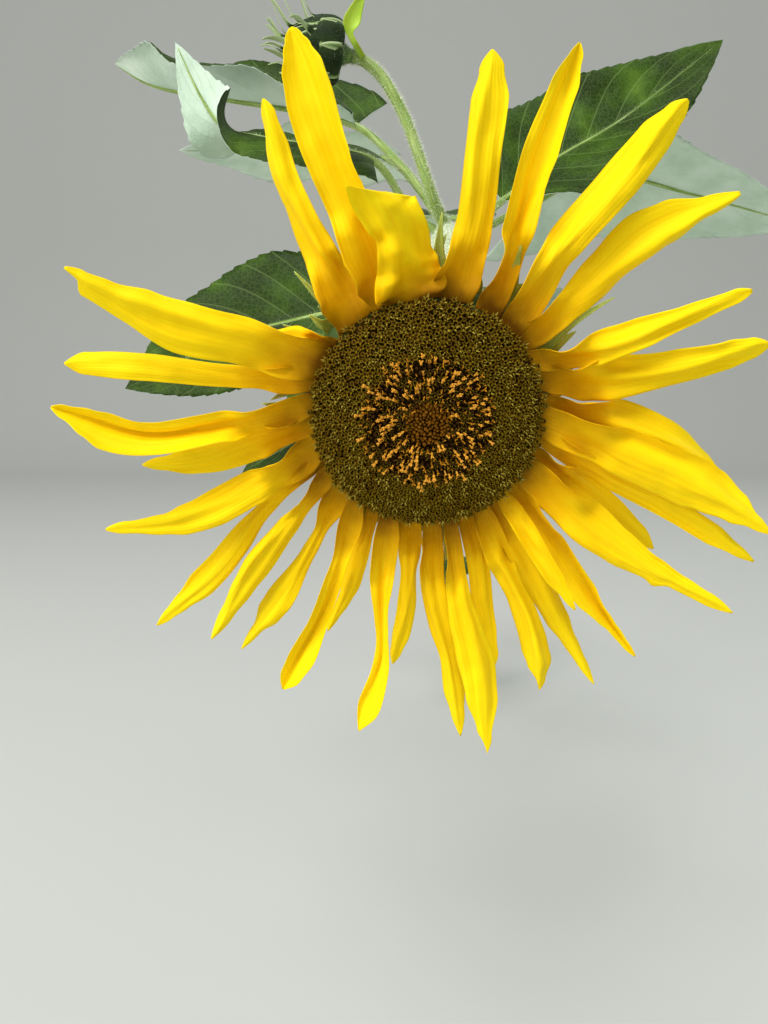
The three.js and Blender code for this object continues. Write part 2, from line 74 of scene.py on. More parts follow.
def new_material(name, roughness, sockets=None):
    """A material, its tree and the inputs of its one shader, on which its plain values are set."""
    material = bpy.data.materials.new(name)
    material.use_nodes = True
    shader = material.node_tree.nodes["Principled BSDF"].inputs
    shader["Roughness"].default_value = roughness
    for socket, value in (sockets or {}).items():
        shader[socket].default_value = value
    return material, material.node_tree, shader


def new_object(name, data):
    """An object of the data, put in the scene."""
    made = bpy.data.objects.new(name, data)
    bpy.context.scene.collection.objects.link(made)
    return made


def quarter_turn(steps):
    """The angles from nought to a quarter turn, in so many steps."""
    return [math.pi / 2 * step / steps for step in range(steps + 1)]


camera_data = bpy.data.cameras.new("camera")
camera_data.sensor_width = SENSOR_WIDTH
camera_data.lens = SENSOR_WIDTH * FOCAL_PIXELS / PHOTO_LONG_SIDE
camera = new_object("camera", camera_data)
camera.location = CAMERA_PLACE
camera.rotation_euler = (math.radians(CAMERA_TILT), 0, 0)
bpy.context.scene.camera = camera
bpy.context.scene.view_settings.view_transform = "Standard"

sweep = [(FLOOR_FRONT, 0.0)]
for angle in quarter_turn(WALL_STEPS):
    sweep.append((FLOOR_BACK + WALL_CURVE * math.sin(angle), WALL_CURVE * (1 - math.cos(angle))))
sweep.append((FLOOR_BACK + WALL_CURVE, WALL_HEIGHT))
floor_mesh = bpy.data.meshes.new("studio_floor")
floor_mesh.from_pydata(
    [(x, y, z) for y, z in sweep for x in (-FLOOR_HALF_WIDTH, FLOOR_HALF_WIDTH)],
    [],
    [(2 * i, 2 * i + 1, 2 * i + 3, 2 * i + 2) for i in range(len(sweep) - 1)],
)
floor_mesh.shade_smooth()
# Matt painted studio floor: an even pale grey, without gloss.
floor_paint, _, _ = new_material("matt studio paint", 0.9, {"Base Color": colour(FLOOR_COLOUR)})
floor_mesh.materials.append(floor_paint)
new_object("studio_floor", floor_mesh)

sky = bpy.data.worlds.new("overcast sky")
sky.use_nodes = True
sky_light = sky.node_tree.nodes["Background"].inputs
sky_light["Color"].default_value = colour(SKY_COLOUR)
sky_light["Strength"].default_value = SKY_STRENGTH
bpy.context.scene.world = sky

for name, (place, size, power, tint) in LIGHTS.items():
    light_data = bpy.data.lights.new(name, "AREA")
    light_data.size = size
    light_data.energy = power
    light_data.color = colour(tint)[:3]
    light = new_object(name, light_data)
    light.location = place
    light.rotation_euler = (Vector(LIGHT_TARGET) - Vector(place)).to_track_quat("-Z", "Y").to_euler()

# Stem and neck: one sappy green limb from the flat cut at the ground to the back of the flower head,
# ribbed lengthwise and hairy. It thickens a little at the node, where the stalks leave it, and the
# neck above the node is woolly and pale.
MM = 0.001
STEM_PATH = [(0, 0, 0), (0, 0, 480), (-80, -640, 1010), (-190, -1360, 839)]
STEM_FOOT_RADIUS = 22
STEM_RADIUS = 15
STEM_NODE_RADIUS = 9.5
STEM_FLARE_HEIGHT = 28
STEM_SIDES = 48
STEM_STEPS = 430
STEM_RIDGES = 12
STEM_RIDGE_DEPTH = 0.025
NODE_SWELLING = 1.3
NODE_SWELLING_SPREAD = 16
HEAD_CENTRE = (-210, -1487, 739)
NOD = math.radians(17)
CUP_DEPTH = 34
NECK_RADIUS = 10
NECK_STIFFNESS = 45
NECK_STEPS = 56
NECK_RUN = 90
NECK_SINK = 1.5
# Wander of the ribs round the stem, the length of one wave of it, and the unevenness along the stem.
RIDGE_WANDER = 1.5
RIDGE_WANDER_RUN = 170
UNEVEN_DEPTH = 0.025
UNEVEN_RUN = 45
ACROSS = np.array((1.0, 0.0, 0.0))


def unit(vector):
    return vector / np.linalg.norm(vector)


def square_to(along, direction):
    """The part of a direction that is square to another one, at unit length."""
    return unit(direction - np.dot(direction, along) * along)


def bezier(points):
    """A cubic curve through its first and last point, as place and direction at a share of it."""
    a, b, c, d = np.array(points, float)

    def at(t):
        s = 1 - t
        place = s**3 * a + 3 * s * s * t * b + 3 * s * t * t * c + t**3 * d
        return place, unit(s * s * (b - a) + 2 * s * t * (c - b) + t * t * (d - c))

    return at


def new_skin():
    """What a piece is gathered in: points, faces, a pattern place for each point, a finish for each face."""
    return {"points": [], "faces": [], "pattern": [], "finish": []}


def add_part(skin, points, faces, pattern, finish):
    """Adds one part's points and faces to a skin. The finish is one number or one for each face."""
    start = sum(len(part) for part in skin["points"])
    skin["points"].append(np.array(points, float))
    skin["pattern"].append(np.array(pattern, float))
    skin["faces"].extend(tuple(start + i for i in face) for face in faces)
    skin["finish"].extend([finish] * len(faces) if isinstance(finish, int) else finish)


def ring_faces(first, last, sides):
    """Faces between rings of so many sides each, from the ring of one point number to that of another."""
    faces = []
    for low in range(first, last, sides):
        for i in range(sides):
            j = (i + 1) % sides
            faces.append((low + i, low + j, low + sides + j, low + sides + i))
    return faces


def relief(turn, walked):
    """Shallow ribs that wander a little round a stem or stalk, and slight unevenness along it."""
    ribs = math.cos(STEM_RIDGES * turn + RIDGE_WANDER * math.sin(walked / RIDGE_WANDER_RUN))
    uneven = noise.noise(Vector((math.cos(turn), math.sin(turn), walked / UNEVEN_RUN)))
    return 1 + STEM_RIDGE_DEPTH * ribs + UNEVEN_DEPTH * uneven


def add_limb(skin, line, radius_at, steps, hint, sides, finish=0, walked=0.0):
    """Adds a closed round limb along a line. Its pattern places unroll the skin without a seam."""
    points = []
    pattern = []
    before = line(0.0)[0]
    for k in range(steps + 1):
        place, along = line(k / steps)
        radius = radius_at(k / steps)
        up = square_to(along, hint)
        side = np.cross(up, along)
        walked += np.linalg.norm(place - before)
        before = place
        for i in range(sides):
            turn = 2 * math.pi * i / sides
            reach = radius * relief(turn, walked)
            points.append(place + reach * (math.cos(turn) * side + math.sin(turn) * up))
            pattern.append((math.cos(turn) * radius, math.sin(turn) * radius, walked))
    last = steps * sides
    faces = ring_faces(0, last, sides)
    faces.append(tuple(reversed(range(sides))))
    faces.append(tuple(range(last, last + sides)))
    add_part(skin, points, faces, pattern, finish)


def place_piece(piece, nodes):
    """Says what a finished piece rides on and what it stands for."""
    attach(piece, "root")
    if nodes:
        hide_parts(*nodes)
    return piece


def make_piece(name, skin, finishes, nodes=None):
    """Makes a skin's mesh, in metres, and places it. It stands for the nodes, or for the one of its name."""
    mesh = bpy.data.meshes.new(name)
    mesh.from_pydata((np.vstack(skin["points"]) * MM).tolist(), [], skin["faces"])
    pattern = mesh.attributes.new("pattern", "FLOAT_VECTOR", "POINT")
    pattern.data.foreach_set("vector", np.vstack(skin["pattern"]).astype(np.float32).ravel())
    mesh.polygons.foreach_set("material_index", np.array(skin["finish"], np.int32))
    for finish in finishes:
        mesh.materials.append(finish)
    mesh.shade_smooth()
    return place_piece(new_object(name, mesh), nodes or (name,))


def add_node(tree, kind, inputs=None, stops=None, out=0, **settings):
    """Adds a node with its settings and gives its output that out names or counts. An input takes a
    value, or the output that feeds it."""
    node = tree.nodes.new(kind)
    for name, value in settings.items():
        setattr(node, name, value)
    for socket, value in (inputs or {}).items():
        if isinstance(value, bpy.types.NodeSocket):
            tree.links.new(value, node.inputs[socket])
        else:
            node.inputs[socket].default_value = value
    if stops:
        ramp = node.color_ramp
        while len(ramp.elements) < len(stops):
            ramp.elements.new(0.5)
        for element, (place, code) in zip(ramp.elements, stops):
            element.position = place
            element.color = colour(code)
    return node.outputs[out]


def places_on(tree):
    """The places on a skin that patterns follow: the skin's own, their X, Y and Z, and the plant's."""
    pattern = add_node(tree, "ShaderNodeAttribute", out="Vector", attribute_name="pattern")
    parts = add_node(tree, "ShaderNodeSeparateXYZ", {0: pattern}).node.outputs
    return pattern, parts, add_node(tree, "ShaderNodeTexCoord", out="Object")


def mottle(tree, places, scale, detail, stops):
    """Mottled colour: a noise and the colours that it is given. Gives both."""
    blotches = add_node(tree, "ShaderNodeTexNoise", {"Vector": places, "Scale": scale, "Detail": detail})
    return blotches, add_node(tree, "ShaderNodeValToRGB", {"Fac": blotches}, stops)


def dress(tree, shader, base, height, strength, depth):
    """Gives a skin its colour, and a relief of so many metres."""
    bump = {"Height": height, "Strength": strength, "Distance": depth}
    tree.links.new(base, shader["Base Color"])
    tree.links.new(add_node(tree, "ShaderNodeBump", bump), shader["Normal"])


# Hairy green stem skin: matt sappy green with paler ribs and fine streaks a few millimetres apart.
stem_finish, tree, shader = new_material(
    "hairy green stem skin", 0.62, {"Subsurface Weight": 0.08, "Subsurface Scale": 0.004}
)
pattern, _, _ = places_on(tree)
drawn_out = add_node(tree, "ShaderNodeVectorMath", {0: pattern, 1: (0.9, 0.9, 0.05)}, operation="MULTIPLY")
streaks, streaked = mottle(tree, drawn_out, 1.0, 4.0, [(0.3, "#67862F"), (0.5, "#93AE56"), (0.72, "#C6D593")])
_, patched = mottle(tree, pattern, 0.035, 2.0, [(0.35, "#C3CE8F"), (0.65, "#FFFFFF")])
mixed = {0: 0.35, 6: streaked, 7: patched}
mixed = add_node(tree, "ShaderNodeMix", mixed, out=2, data_type="RGBA", blend_type="MULTIPLY")
dress(tree, shader, mixed, streaks, 0.35, 0.0006)

# White woolly skin of the neck: felted hairs over pale green.
wool_finish, tree, shader = new_material(
    "white woolly neck skin", 0.85, {"Sheen Weight": 0.3, "Subsurface Weight": 0.1}
)
pattern, _, _ = places_on(tree)
felt, felted = mottle(tree, pattern, 0.9, 6.0, [(0.32, "#86A062"), (0.5, "#BDCBA6"), (0.66, "#E2E7D5")])
dress(tree, shader, felted, felt, 0.5, 0.0008)

stem_line = bezier(STEM_PATH)
stem_points = [stem_line(k / STEM_STEPS)[0] for k in range(STEM_STEPS + 1)]
stem_length = sum(np.linalg.norm(b - a) for a, b in zip(stem_points, stem_points[1:]))


def stem_radius(t):
    taper = STEM_RADIUS + (STEM_NODE_RADIUS - STEM_RADIUS) * t
    flare = (STEM_FOOT_RADIUS - STEM_RADIUS) * math.exp(-t * stem_length / STEM_FLARE_HEIGHT)
    swelling = NODE_SWELLING * math.exp(-(((1 - t) * stem_length / NODE_SWELLING_SPREAD) ** 2))
    return taper + flare + swelling


def neck_radius(t):
    swelling = NODE_SWELLING * math.exp(-((t * NECK_RUN / NODE_SWELLING_SPREAD) ** 2))
    return STEM_NODE_RADIUS + (NECK_RADIUS - STEM_NODE_RADIUS) * t + swelling


backward = np.array((0.0, math.cos(NOD), math.sin(NOD)))
node_place, node_direction = stem_line(1.0)
neck_end = np.array(HEAD_CENTRE) + backward * (CUP_DEPTH - NECK_SINK)
neck_line = bezier([
    node_place,
    node_place + NECK_STIFFNESS * node_direction,
    neck_end + NECK_STIFFNESS * backward,
    neck_end,
])
stem_skin = new_skin()
add_limb(stem_skin, stem_line, stem_radius, STEM_STEPS, ACROSS, STEM_SIDES)
stem_nodes = ("stem_foot", "stem_rise", "stem_bow", "stem_top")
stem = make_piece("stem", stem_skin, [stem_finish], stem_nodes)
neck_skin = new_skin()
add_limb(neck_skin, neck_line, neck_radius, NECK_STEPS, ACROSS, STEM_SIDES, walked=stem_length)
neck = make_piece("neck", neck_skin, [wool_finish])

# Flower head, its back: a green cup that the neck widens into, with whorls of narrow pointed bracts
# round its rim. They are leafy and yellow-green, folded along the middle, and stand between the rays.
SEAT_DEPTH = 4
CUP_RADIUS = 58
CUP_RIM_DEPTH = 9
CUP_SEAT_RADIUS = 53
CUP_EDGE_DEPTH = 7
CUP_SEAT_GAP = 0.3
CUP_STEPS = 18
TURNED_SEGMENTS = 96
FORWARD = np.array((0.0, 0.0, 1.0))
BLADE_THINNING = 0.6
BRACTS = 42
BRACT_FOOT = 46
BRACT_REACH = (86, 76, 81)
BRACT_DEPTH = (10.5, 14, 12)
BRACT_WIDTH = 10
BRACT_THICKNESS = 0.8
BRACT_BOW = 2
BRACT_GRID = (16, 6)
BRACT_SEED = 11
# Spread of the bracts: their places and leans in degrees, the shares of their reach, the rise of their
# tips in millimetres, the shares of their width, and their folds.
BRACT_TURN = 3
BRACT_LEAN = 8
BRACT_REACHES = (0.88, 1.0)
BRACT_RISE = 6
BRACT_WIDTHS = (0.8, 1.1)
BRACT_FOLDS = (0.2, 0.8)
BRACT_RIM_GAP = 2
LONG_BRACT_FOLD = 0.6
# How high a long bract stands over the foremost whorl: past the rim, half way and at its tip.
LONG_BRACT_RISE = (2, 4, 5)
# Bracts that show past the rays: angle of the foot, angle of the tip, reach, and width in millimetres.
LONG_BRACTS = [(29, 32.5, 98, 6.5), (85, 87, 88, 8), (133, 133, 87, 6), (139, 140, 70, 7)]

head_place = Matrix.Translation(HEAD_CENTRE) @ Matrix.Rotation(math.pi / 2 + NOD, 4, "X")
head_turn = np.array(head_place.to_3x3())


def on_head(points):
    """Points that are given about the disc's middle, with +Z out of its face, as they lie on the plant."""
    return np.asarray(points, float) @ head_turn.T + np.array(HEAD_CENTRE)


def polar(degrees, radius, height):
    angle = math.radians(degrees)
    return np.array((radius * math.cos(angle), radius * math.sin(angle), height))


def smooth_line(points):
    """An even curve through all its points, as place and direction at a share of it."""
    knots = np.array(points, float)
    knots = np.vstack([2 * knots[0] - knots[1], knots, 2 * knots[-1] - knots[-2]])
    spans = len(points) - 1

    def at(t):
        i = min(int(t * spans), spans - 1)
        u = t * spans - i
        a, b, c, d = knots[i:i + 4]
        place = b + ((c - a) * u + (2 * a - 5 * b + 4 * c - d) * u * u + (3 * b - a - 3 * c + d) * u**3) / 2
        slope = (c - a) / 2 + (2 * a - 5 * b + 4 * c - d) * u + 1.5 * (3 * b - a - 3 * c + d) * u * u
        return place, unit(slope)

    return at


def add_turned(skin, profile, segments, finish, to_plant):
    """Adds a closed turned form about +Z. Its profile runs from the axis, up the outside, to the axis."""
    points = [(0, 0, profile[0][1])]
    for radius, height in profile[1:-1]:
        points.extend(polar(360 * i / segments, radius, height) for i in range(segments))
    points.append((0, 0, profile[-1][1]))
    top = 1 + (len(profile) - 3) * segments
    faces = [(0, 1 + (i + 1) % segments, 1 + i) for i in range(segments)]
    faces.extend(ring_faces(1, top, segments))
    faces.extend((top + i, top + (i + 1) % segments, len(points) - 1) for i in range(segments))
    add_part(skin, to_plant(points), faces, points, finish)


def add_blade(skin, grid, surface, thickness, finishes, scale=1.0, to_plant=np.asarray):
    """Adds a thin closed blade of so many stations and columns. The surface gives, at share s of its
    length, its points across from v = 1 to v = -1 and the way up there. The finishes are those of its
    upper side and its underside."""
    stations, columns = grid
    v = np.linspace(1, -1, columns + 1)
    half = (thickness / 2 * (1 - BLADE_THINNING * v**4))[:, None]
    upper = []
    lower = []
    pattern = []
    for k in range(stations + 1):
        points, up = surface(k / stations, v)
        upper.extend(points + half * up)
        lower.extend(points - half * up)
        pattern.extend((column, k / stations, scale) for column in v)
    row = columns + 1
    count = len(upper)
    faces = []
    finish = []
    for k in range(stations):
        for j in range(columns):
            a, b = k * row + j, (k + 1) * row + j
            faces.append((a, a + 1, b + 1, b))
            faces.append((count + b, count + b + 1, count + a + 1, count + a))
            finish.extend(finishes)
        a, b = k * row, (k + 1) * row
        faces.append((a, b, count + b, count + a))
        a, b = a + columns, b + columns
        faces.append((count + a, count + b, b, a))
        finish.extend([finishes[1]] * 2)
    last = stations * row
    for j in range(columns):
        faces.append((j, count + j, count + j + 1, j + 1))
        faces.append((last + j, last + j + 1, count + last + j + 1, count + last + j))
        finish.extend([finishes[1]] * 2)
    add_part(skin, to_plant(upper + lower), faces, pattern + pattern, finish)


# Cup skin: matt mid green under fine pale down.
cup_finish, tree, shader = new_material("downy green cup skin", 0.7, {"Sheen Weight": 0.2})
_, _, place = places_on(tree)
clouds, clouded = mottle(tree, place, 140.0, 5.0, [(0.3, "#36541A"), (0.5, "#4C7026"), (0.72, "#7D9A4C")])
dress(tree, shader, clouded, clouds, 0.4, 0.0008)

# Leafy bract skin: soft yellow-green, paler towards the tip, with fine length veins about 1 mm apart.
bract_finish, tree, shader = new_material(
    "leafy bract skin", 0.6, {"Subsurface Weight": 0.2, "Subsurface Scale": 0.004}
)
_, parts, place = places_on(tree)
cells = add_node(tree, "ShaderNodeTexNoise", {"Vector": place, "Scale": 320.0, "Detail": 4.0})
stops = [(0.0, "#6B8F2E"), (0.4, "#93AE3C"), (1.0, "#C6D25E")]
paling = add_node(tree, "ShaderNodeValToRGB", {"Fac": parts["Y"]}, stops)
mixed = add_node(
    tree, "ShaderNodeMix", {0: cells, 6: paling, 7: colour("#9CB548")}, out=2, data_type="RGBA"
)
veins = add_node(tree, "ShaderNodeMath", {0: parts["X"], 1: 14.0}, operation="MULTIPLY")
vein_wave = add_node(tree, "ShaderNodeMath", {0: veins}, operation="SINE")
dress(tree, shader, mixed, vein_wave, 0.4, 0.0004)


def bract_surface(rib, width, fold):
    """A bract's surface: broad at its foot, drawn to a long point, folded forward along its middle."""

    def at(s, v):
        place, along = rib(s)
        up = square_to(along, FORWARD)
        half = width / 2 * (1 - s) ** 0.8 * (1 + 0.3 * math.sin(math.pi * s)) + 0.2
        across = np.outer(v * half, np.cross(up, along))
        return place + across + np.outer(fold * half * np.abs(v) ** 1.3, up), up

    return at


cup_profile = [(0, -CUP_DEPTH)]
for angle in quarter_turn(CUP_STEPS):
    cup_profile.append((
        NECK_RADIUS + (CUP_RADIUS - NECK_RADIUS) * math.sin(angle),
        -CUP_RIM_DEPTH - (CUP_DEPTH - CUP_RIM_DEPTH) * math.cos(angle),
    ))
cup_top = -SEAT_DEPTH - CUP_SEAT_GAP
cup_profile += [(CUP_RADIUS, -CUP_EDGE_DEPTH), (CUP_SEAT_RADIUS, cup_top), (0, cup_top)]
cup_skin = new_skin()
add_turned(cup_skin, cup_profile, TURNED_SEGMENTS, 0, on_head)
bracts = []
draw = random.Random(BRACT_SEED)
for i in range(BRACTS):
    whorl = i % len(BRACT_REACH)
    angle = 360 * i / BRACTS + draw.uniform(-BRACT_TURN, BRACT_TURN)
    lean = draw.uniform(-BRACT_LEAN, BRACT_LEAN)
    depth = -BRACT_DEPTH[whorl]
    reach = BRACT_REACH[whorl] * draw.uniform(*BRACT_REACHES)
    rib = smooth_line([
        polar(angle, BRACT_FOOT, depth - BRACT_BOW),
        polar(angle, CUP_RADIUS + BRACT_RIM_GAP, depth),
        polar(angle + lean / 2, (CUP_RADIUS + reach) / 2, depth + BRACT_BOW),
        polar(angle + lean, reach, depth + BRACT_BOW + draw.uniform(0, BRACT_RISE)),
    ])
    width = BRACT_WIDTH * draw.uniform(*BRACT_WIDTHS)
    bracts.append(bract_surface(rib, width, draw.uniform(*BRACT_FOLDS)))
near_height, middle_height, tip_height = (rise - BRACT_DEPTH[0] for rise in LONG_BRACT_RISE)
for foot, tip, reach, width in LONG_BRACTS:
    rib = smooth_line([
        polar(foot, BRACT_FOOT, -BRACT_DEPTH[0] - BRACT_BOW),
        polar(foot, CUP_RADIUS + BRACT_RIM_GAP, near_height),
        polar(tip, (CUP_RADIUS + reach) / 2, middle_height),
        polar(tip, reach, tip_height),
    ])
    bracts.append(bract_surface(rib, width, LONG_BRACT_FOLD))
for surface in bracts:
    add_blade(cup_skin, BRACT_GRID, surface, BRACT_THICKNESS, (1, 1), to_plant=on_head)
receptacle = make_piece("receptacle", cup_skin, [cup_finish, bract_finish])

# Ray florets: thirty-five thin yellow straps whose feet are set under the disc's edge. Each lies in
# its own place and layer. Near its foot it is a hood, which turns at a waist into a blade that is
# creased along a line that wanders, with edges that roll forward and wave.
# Columns: angle of the foot, angle of the tip, reach of the tip from the disc's middle, sideways
# bend at a third and at two thirds of the length, width, lift of the tip towards the viewer, roll of
# the blade at its tip, and the layer it lies in, from 0 at the back to 2 at the front.
RAY_FLORETS = [
    (47, 52, 165, 4, 2, 18, -6, 0, 1),
    (37, 36, 162, 4, 8, 20, -4, 15, 0),
    (28, 22, 151, -4, -2, 16, 0, -15, 1),
    (18, 12, 157, -6, -5, 18, 4, 15, 0),
    (4, 345, 155, 7, 8, 22, 0, 0, 0),
    (358, 342, 173, 3, 5, 26, 12, 0, 2),
    (350, 336, 179, -1, 1, 18, 10, 10, 1),
    (339, 328, 140, 2, 2, 17, 0, 0, 0),
    (331, 328, 180, -5, -5, 24, 16, 0, 2),
    (328, 321, 94, 0, 0, 13, 4, 0, 0),
    (321, 311, 171, -1, -2, 18, 12, 10, 1),
    (314, 308, 124, 0, 0, 12, 10, 0, 2),
    (308, 302, 177, -1, -1, 17, 14, -10, 0),
    (301, 293, 161, 1, 5, 18, 10, 0, 1),
    (293, 286, 150, 1, -1, 14, 4, 0, 0),
    (284, 281, 179, -2, 2, 20, 24, 0, 2),
    (275, 277, 179, -5, -1, 18, 18, 0, 1),
    (262, 264, 145, 3, 4, 14, 4, 0, 0),
    (251, 259, 176, 1, 7, 16, 14, 10, 2),
    (242, 248, 135, 2, 3, 12, 0, 0, 0),
    (231, 244, 171, 4, 4, 18, 8, 0, 1),
    (221, 234, 166, 4, 4, 18, 4, 0, 0),
    (212, 228, 168, -2, -2, 15, 2, 0, 1),
    (204, 220, 185, -2, 2, 17, 4, 0, 0),
    (197, 200, 167, 8, 11, 19, 6, 10, 1),
    (187, 191, 140, 2, 5, 17, 2, 0, 0),
    (175, 178, 172, 9, 15, 17, 6, 10, 1),
    (162, 172, 168, 2, 0, 15, 2, 10, 0),
    (152, 156, 167, 3, 7, 23, 6, 0, 2),
    (143, 161, 98, -3, -1, 13, 0, 0, 1),
    (128, 118, 148, 3, 5, 14, -8, -20, 0),
    (111, 110, 165, 1, 2, 20, -10, 0, 1),
    (99, 103, 100, -2, -4, 26, 6, 25, 2),
    (79, 81, 150, -4, -3, 15, -10, -20, 0),
    (60, 69, 161, 0, 2, 14, -8, 20, 0),
]
# Outlines of the rays as they are seen from the front, by number. Each pair of numbers is how far along
# the ray and how wide its half is there, in percent. Where a ray has two outlines, the first is that of
# its anticlockwise side.
RAY_OUTLINES = {
    1: (0, 60, 15, 80, 40, 75, 70, 78, 85, 70, 95, 42, 100, 5),
    2: (0, 50, 12, 60, 25, 65, 42, 88, 60, 100, 72, 80, 88, 36, 100, 6),
    3: (0, 55, 14, 68, 28, 86, 50, 72, 71, 53, 93, 36, 100, 6),
    4: (0, 55, 12, 75, 24, 100, 60, 93, 83, 73, 93, 52, 100, 10),
    5: (0, 50, 20, 75, 60, 85, 85, 60, 100, 0),
    6: (0, 50, 15, 65, 41, 87, 65, 90, 71, 75, 84, 50, 92, 23, 100, 0),
    7: (0, 45, 20, 55, 50, 60, 80, 50, 92, 28, 100, 2),
    8: (0, 45, 20, 70, 60, 75, 85, 50, 100, 2),
    9: (
        (0, 55, 15, 75, 34, 80, 50, 67, 66, 46, 78, 30, 90, 22, 100, 0),
        (0, 55, 34, 80, 50, 68, 66, 50, 70, 62, 75, 30, 90, 26, 100, 0),
    ),
    11: (0, 50, 15, 60, 40, 62, 60, 65, 75, 48, 83, 28, 92, 17, 100, 0),
    12: (0, 50, 20, 70, 45, 75, 70, 60, 88, 30, 100, 0),
    13: (0, 50, 12, 68, 30, 68, 50, 79, 66, 70, 77, 42, 88, 26, 100, 0),
    14: (
        (0, 40, 15, 58, 30, 70, 50, 55, 65, 65, 88, 90, 95, 45, 100, 0),
        (0, 40, 15, 58, 30, 70, 50, 55, 65, 65, 85, 62, 95, 40, 100, 0),
    ),
    15: (0, 50, 10, 65, 40, 75, 75, 65, 92, 40, 100, 2),
    16: (0, 30, 20, 42, 35, 54, 50, 74, 64, 92, 79, 78, 94, 32, 100, 0),
    17: (0, 42, 20, 62, 50, 64, 65, 44, 80, 55, 90, 36, 100, 0),
    18: (0, 55, 10, 75, 25, 72, 40, 50, 60, 64, 80, 58, 92, 36, 100, 2),
    19: (0, 50, 13, 70, 25, 68, 45, 44, 55, 40, 70, 50, 86, 62, 100, 0),
    20: (0, 45, 20, 55, 40, 72, 60, 70, 75, 50, 90, 30, 100, 2),
    21: (0, 40, 14, 62, 32, 38, 45, 46, 60, 56, 79, 70, 90, 58, 100, 2),
    22: (0, 50, 12, 65, 28, 32, 40, 38, 67, 66, 77, 58, 88, 24, 100, 0),
    23: (0, 50, 8, 60, 20, 44, 32, 60, 57, 83, 70, 70, 85, 42, 100, 2),
    24: (0, 42, 20, 30, 32, 42, 51, 68, 74, 70, 85, 45, 93, 28, 100, 0),
    25: (0, 60, 15, 92, 30, 78, 50, 73, 67, 63, 77, 45, 92, 27, 100, 2),
    26: (0, 50, 15, 60, 35, 85, 55, 90, 75, 72, 90, 36, 100, 2),
    27: (0, 60, 15, 85, 30, 75, 50, 86, 80, 92, 87, 70, 95, 36, 100, 2),
    28: (0, 70, 15, 85, 28, 62, 45, 66, 80, 62, 93, 55, 100, 2),
    29: (
        (0, 70, 20, 100, 55, 92, 75, 62, 87, 60, 92, 62, 95, 10, 100, 0),
        (0, 70, 20, 90, 50, 90, 70, 72, 85, 40, 94, 24, 100, 3),
    ),
    31: (0, 120, 13, 135, 30, 110, 50, 88, 80, 85, 94, 50, 100, 3),
    32: (0, 60, 15, 85, 75, 86, 86, 77, 93, 52, 97, 30, 100, 3),
    33: (
        (0, 80, 20, 100, 40, 85, 60, 75, 85, 85, 100, 70),
        (0, 90, 14, 125, 30, 105, 45, 80, 85, 85, 95, 70, 100, 50),
    ),
    34: (0, 110, 10, 130, 22, 112, 38, 92, 60, 90, 82, 95, 94, 60, 100, 3),
    35: (0, 80, 20, 92, 60, 88, 85, 72, 95, 42, 100, 2),
}
# The outline of a ray that has none of its own.
PLAIN_OUTLINE = (0, 50, 20, 75, 60, 72, 85, 50, 100, 2)
# How far the end of a ray slants, as a share of half its width, by number.
RAY_SLANTS = {14: 0.5, 16: 0.3, 33: 0.75}
# The way the light comes from, in the disc's plane. A ray's hood is turned towards it.
LIGHT_SIDE = (-0.45, 0.9)
RAY_START = 52.2
RAY_SEAT = 0.7
RAY_THICKNESS = 0.6
RAY_LAYER_PITCH = 1.75
RAY_LAYER_SPREAD = 4
RAY_SPREAD_RUN = 40
RAY_SINK = 1
# Half of a ray's seen width, as a share of its row's width, and how much the outline wavers.
RAY_HALF = 0.53
RAY_WAVER = 0.06
# Most that folding may widen a half, the steepest slope in radians, and how far a fold is levelled.
RAY_WIDEST = 1.8
RAY_STEEPEST = 1.3
RAY_LEVEL = 0.6
RAY_GRID = (72, 22)
RAY_SEED = 7919
RAY_NERVES = 9
RAY_NERVE_HEIGHT = 0.05
RAY_CREASE_WIDTH = 0.07
RAY_HOOD_PLACE = 0.17
RAY_HOOD_SPREAD = 0.12
RAY_WAIST_RUN = 0.05
RAY_CURL_START = 0.4
# Waves along a ray of its wobble, its crease and its outline.
RAY_WOBBLE_WAVES = 1.2
RAY_CREASE_WAVES = 0.9
RAY_OUTLINE_WAVES = 1.7
# Between which shares of a ray's length each shape sets in. The last is where the pleats fade.
RAY_ONSETS = {
    "width": (0, 0.1), "hood": (0.03, 0.15), "wobble": (0.05, 0.3), "crumple": (0.05, 0.2),
    "pleats": (0.1, 0.3), "fold": (0.15, 0.4), "slant": (0.7, 1), "end": (0.75, 1),
}
# Height of the crumpled ground in millimetres, where it is more by number, and the run of one crumple.
RAY_CRUMPLE = 0.5
RAY_CRUMPLES = {33: 4}
CRUMPLE_RUN = 9

# Ray skin: thin, satin and a little waxy. Clear yellow with fine nerves along its whole length.
# Towards the foot it is deeper orange and darker: partly the ray's own orange tint near the disc,
# partly painted shade where the rays' hoods crowd and overlap at the disc's edge.
ray_finish, tree, shader = new_material("satin yellow ray skin", 0.6, {
    "Specular IOR Level": 0.06,
    "Subsurface Weight": 0.05,
    "Subsurface Scale": 0.002,
    "Subsurface Radius": (1.0, 0.75, 0.05),
})
pattern, parts, place = places_on(tree)
clouds = add_node(tree, "ShaderNodeTexNoise", {"Vector": place, "Scale": 45.0, "Detail": 3.0})
shift = add_node(tree, "ShaderNodeMath", {0: clouds, 1: 0.3, 2: -0.15}, operation="MULTIPLY_ADD")
shifted = add_node(tree, "ShaderNodeMath", {0: parts["Y"], 1: shift}, operation="ADD")
# Colours along the ray, from foot to tip. The dark brown-orange at the very foot is painted shade where the
# rays overlap by the disc. The deeper gold up to about a sixth of the length is partly the ray's own orange
# tint and partly painted shade.
stops = [(0.0, "#7C5006"), (0.06, "#B88606"), (0.15, "#DFAB06")]
stops += [(0.3, "#F8CD08"), (0.5, "#FBD60B"), (0.9, "#FBDD0E")]
foot_tint_and_shade = add_node(tree, "ShaderNodeValToRGB", {"Fac": shifted}, stops)
nerves = add_node(tree, "ShaderNodeMath", {0: parts["X"], 1: RAY_NERVES * math.pi}, operation="MULTIPLY")
nerve_wave = add_node(tree, "ShaderNodeMath", {0: nerves}, operation="COSINE")
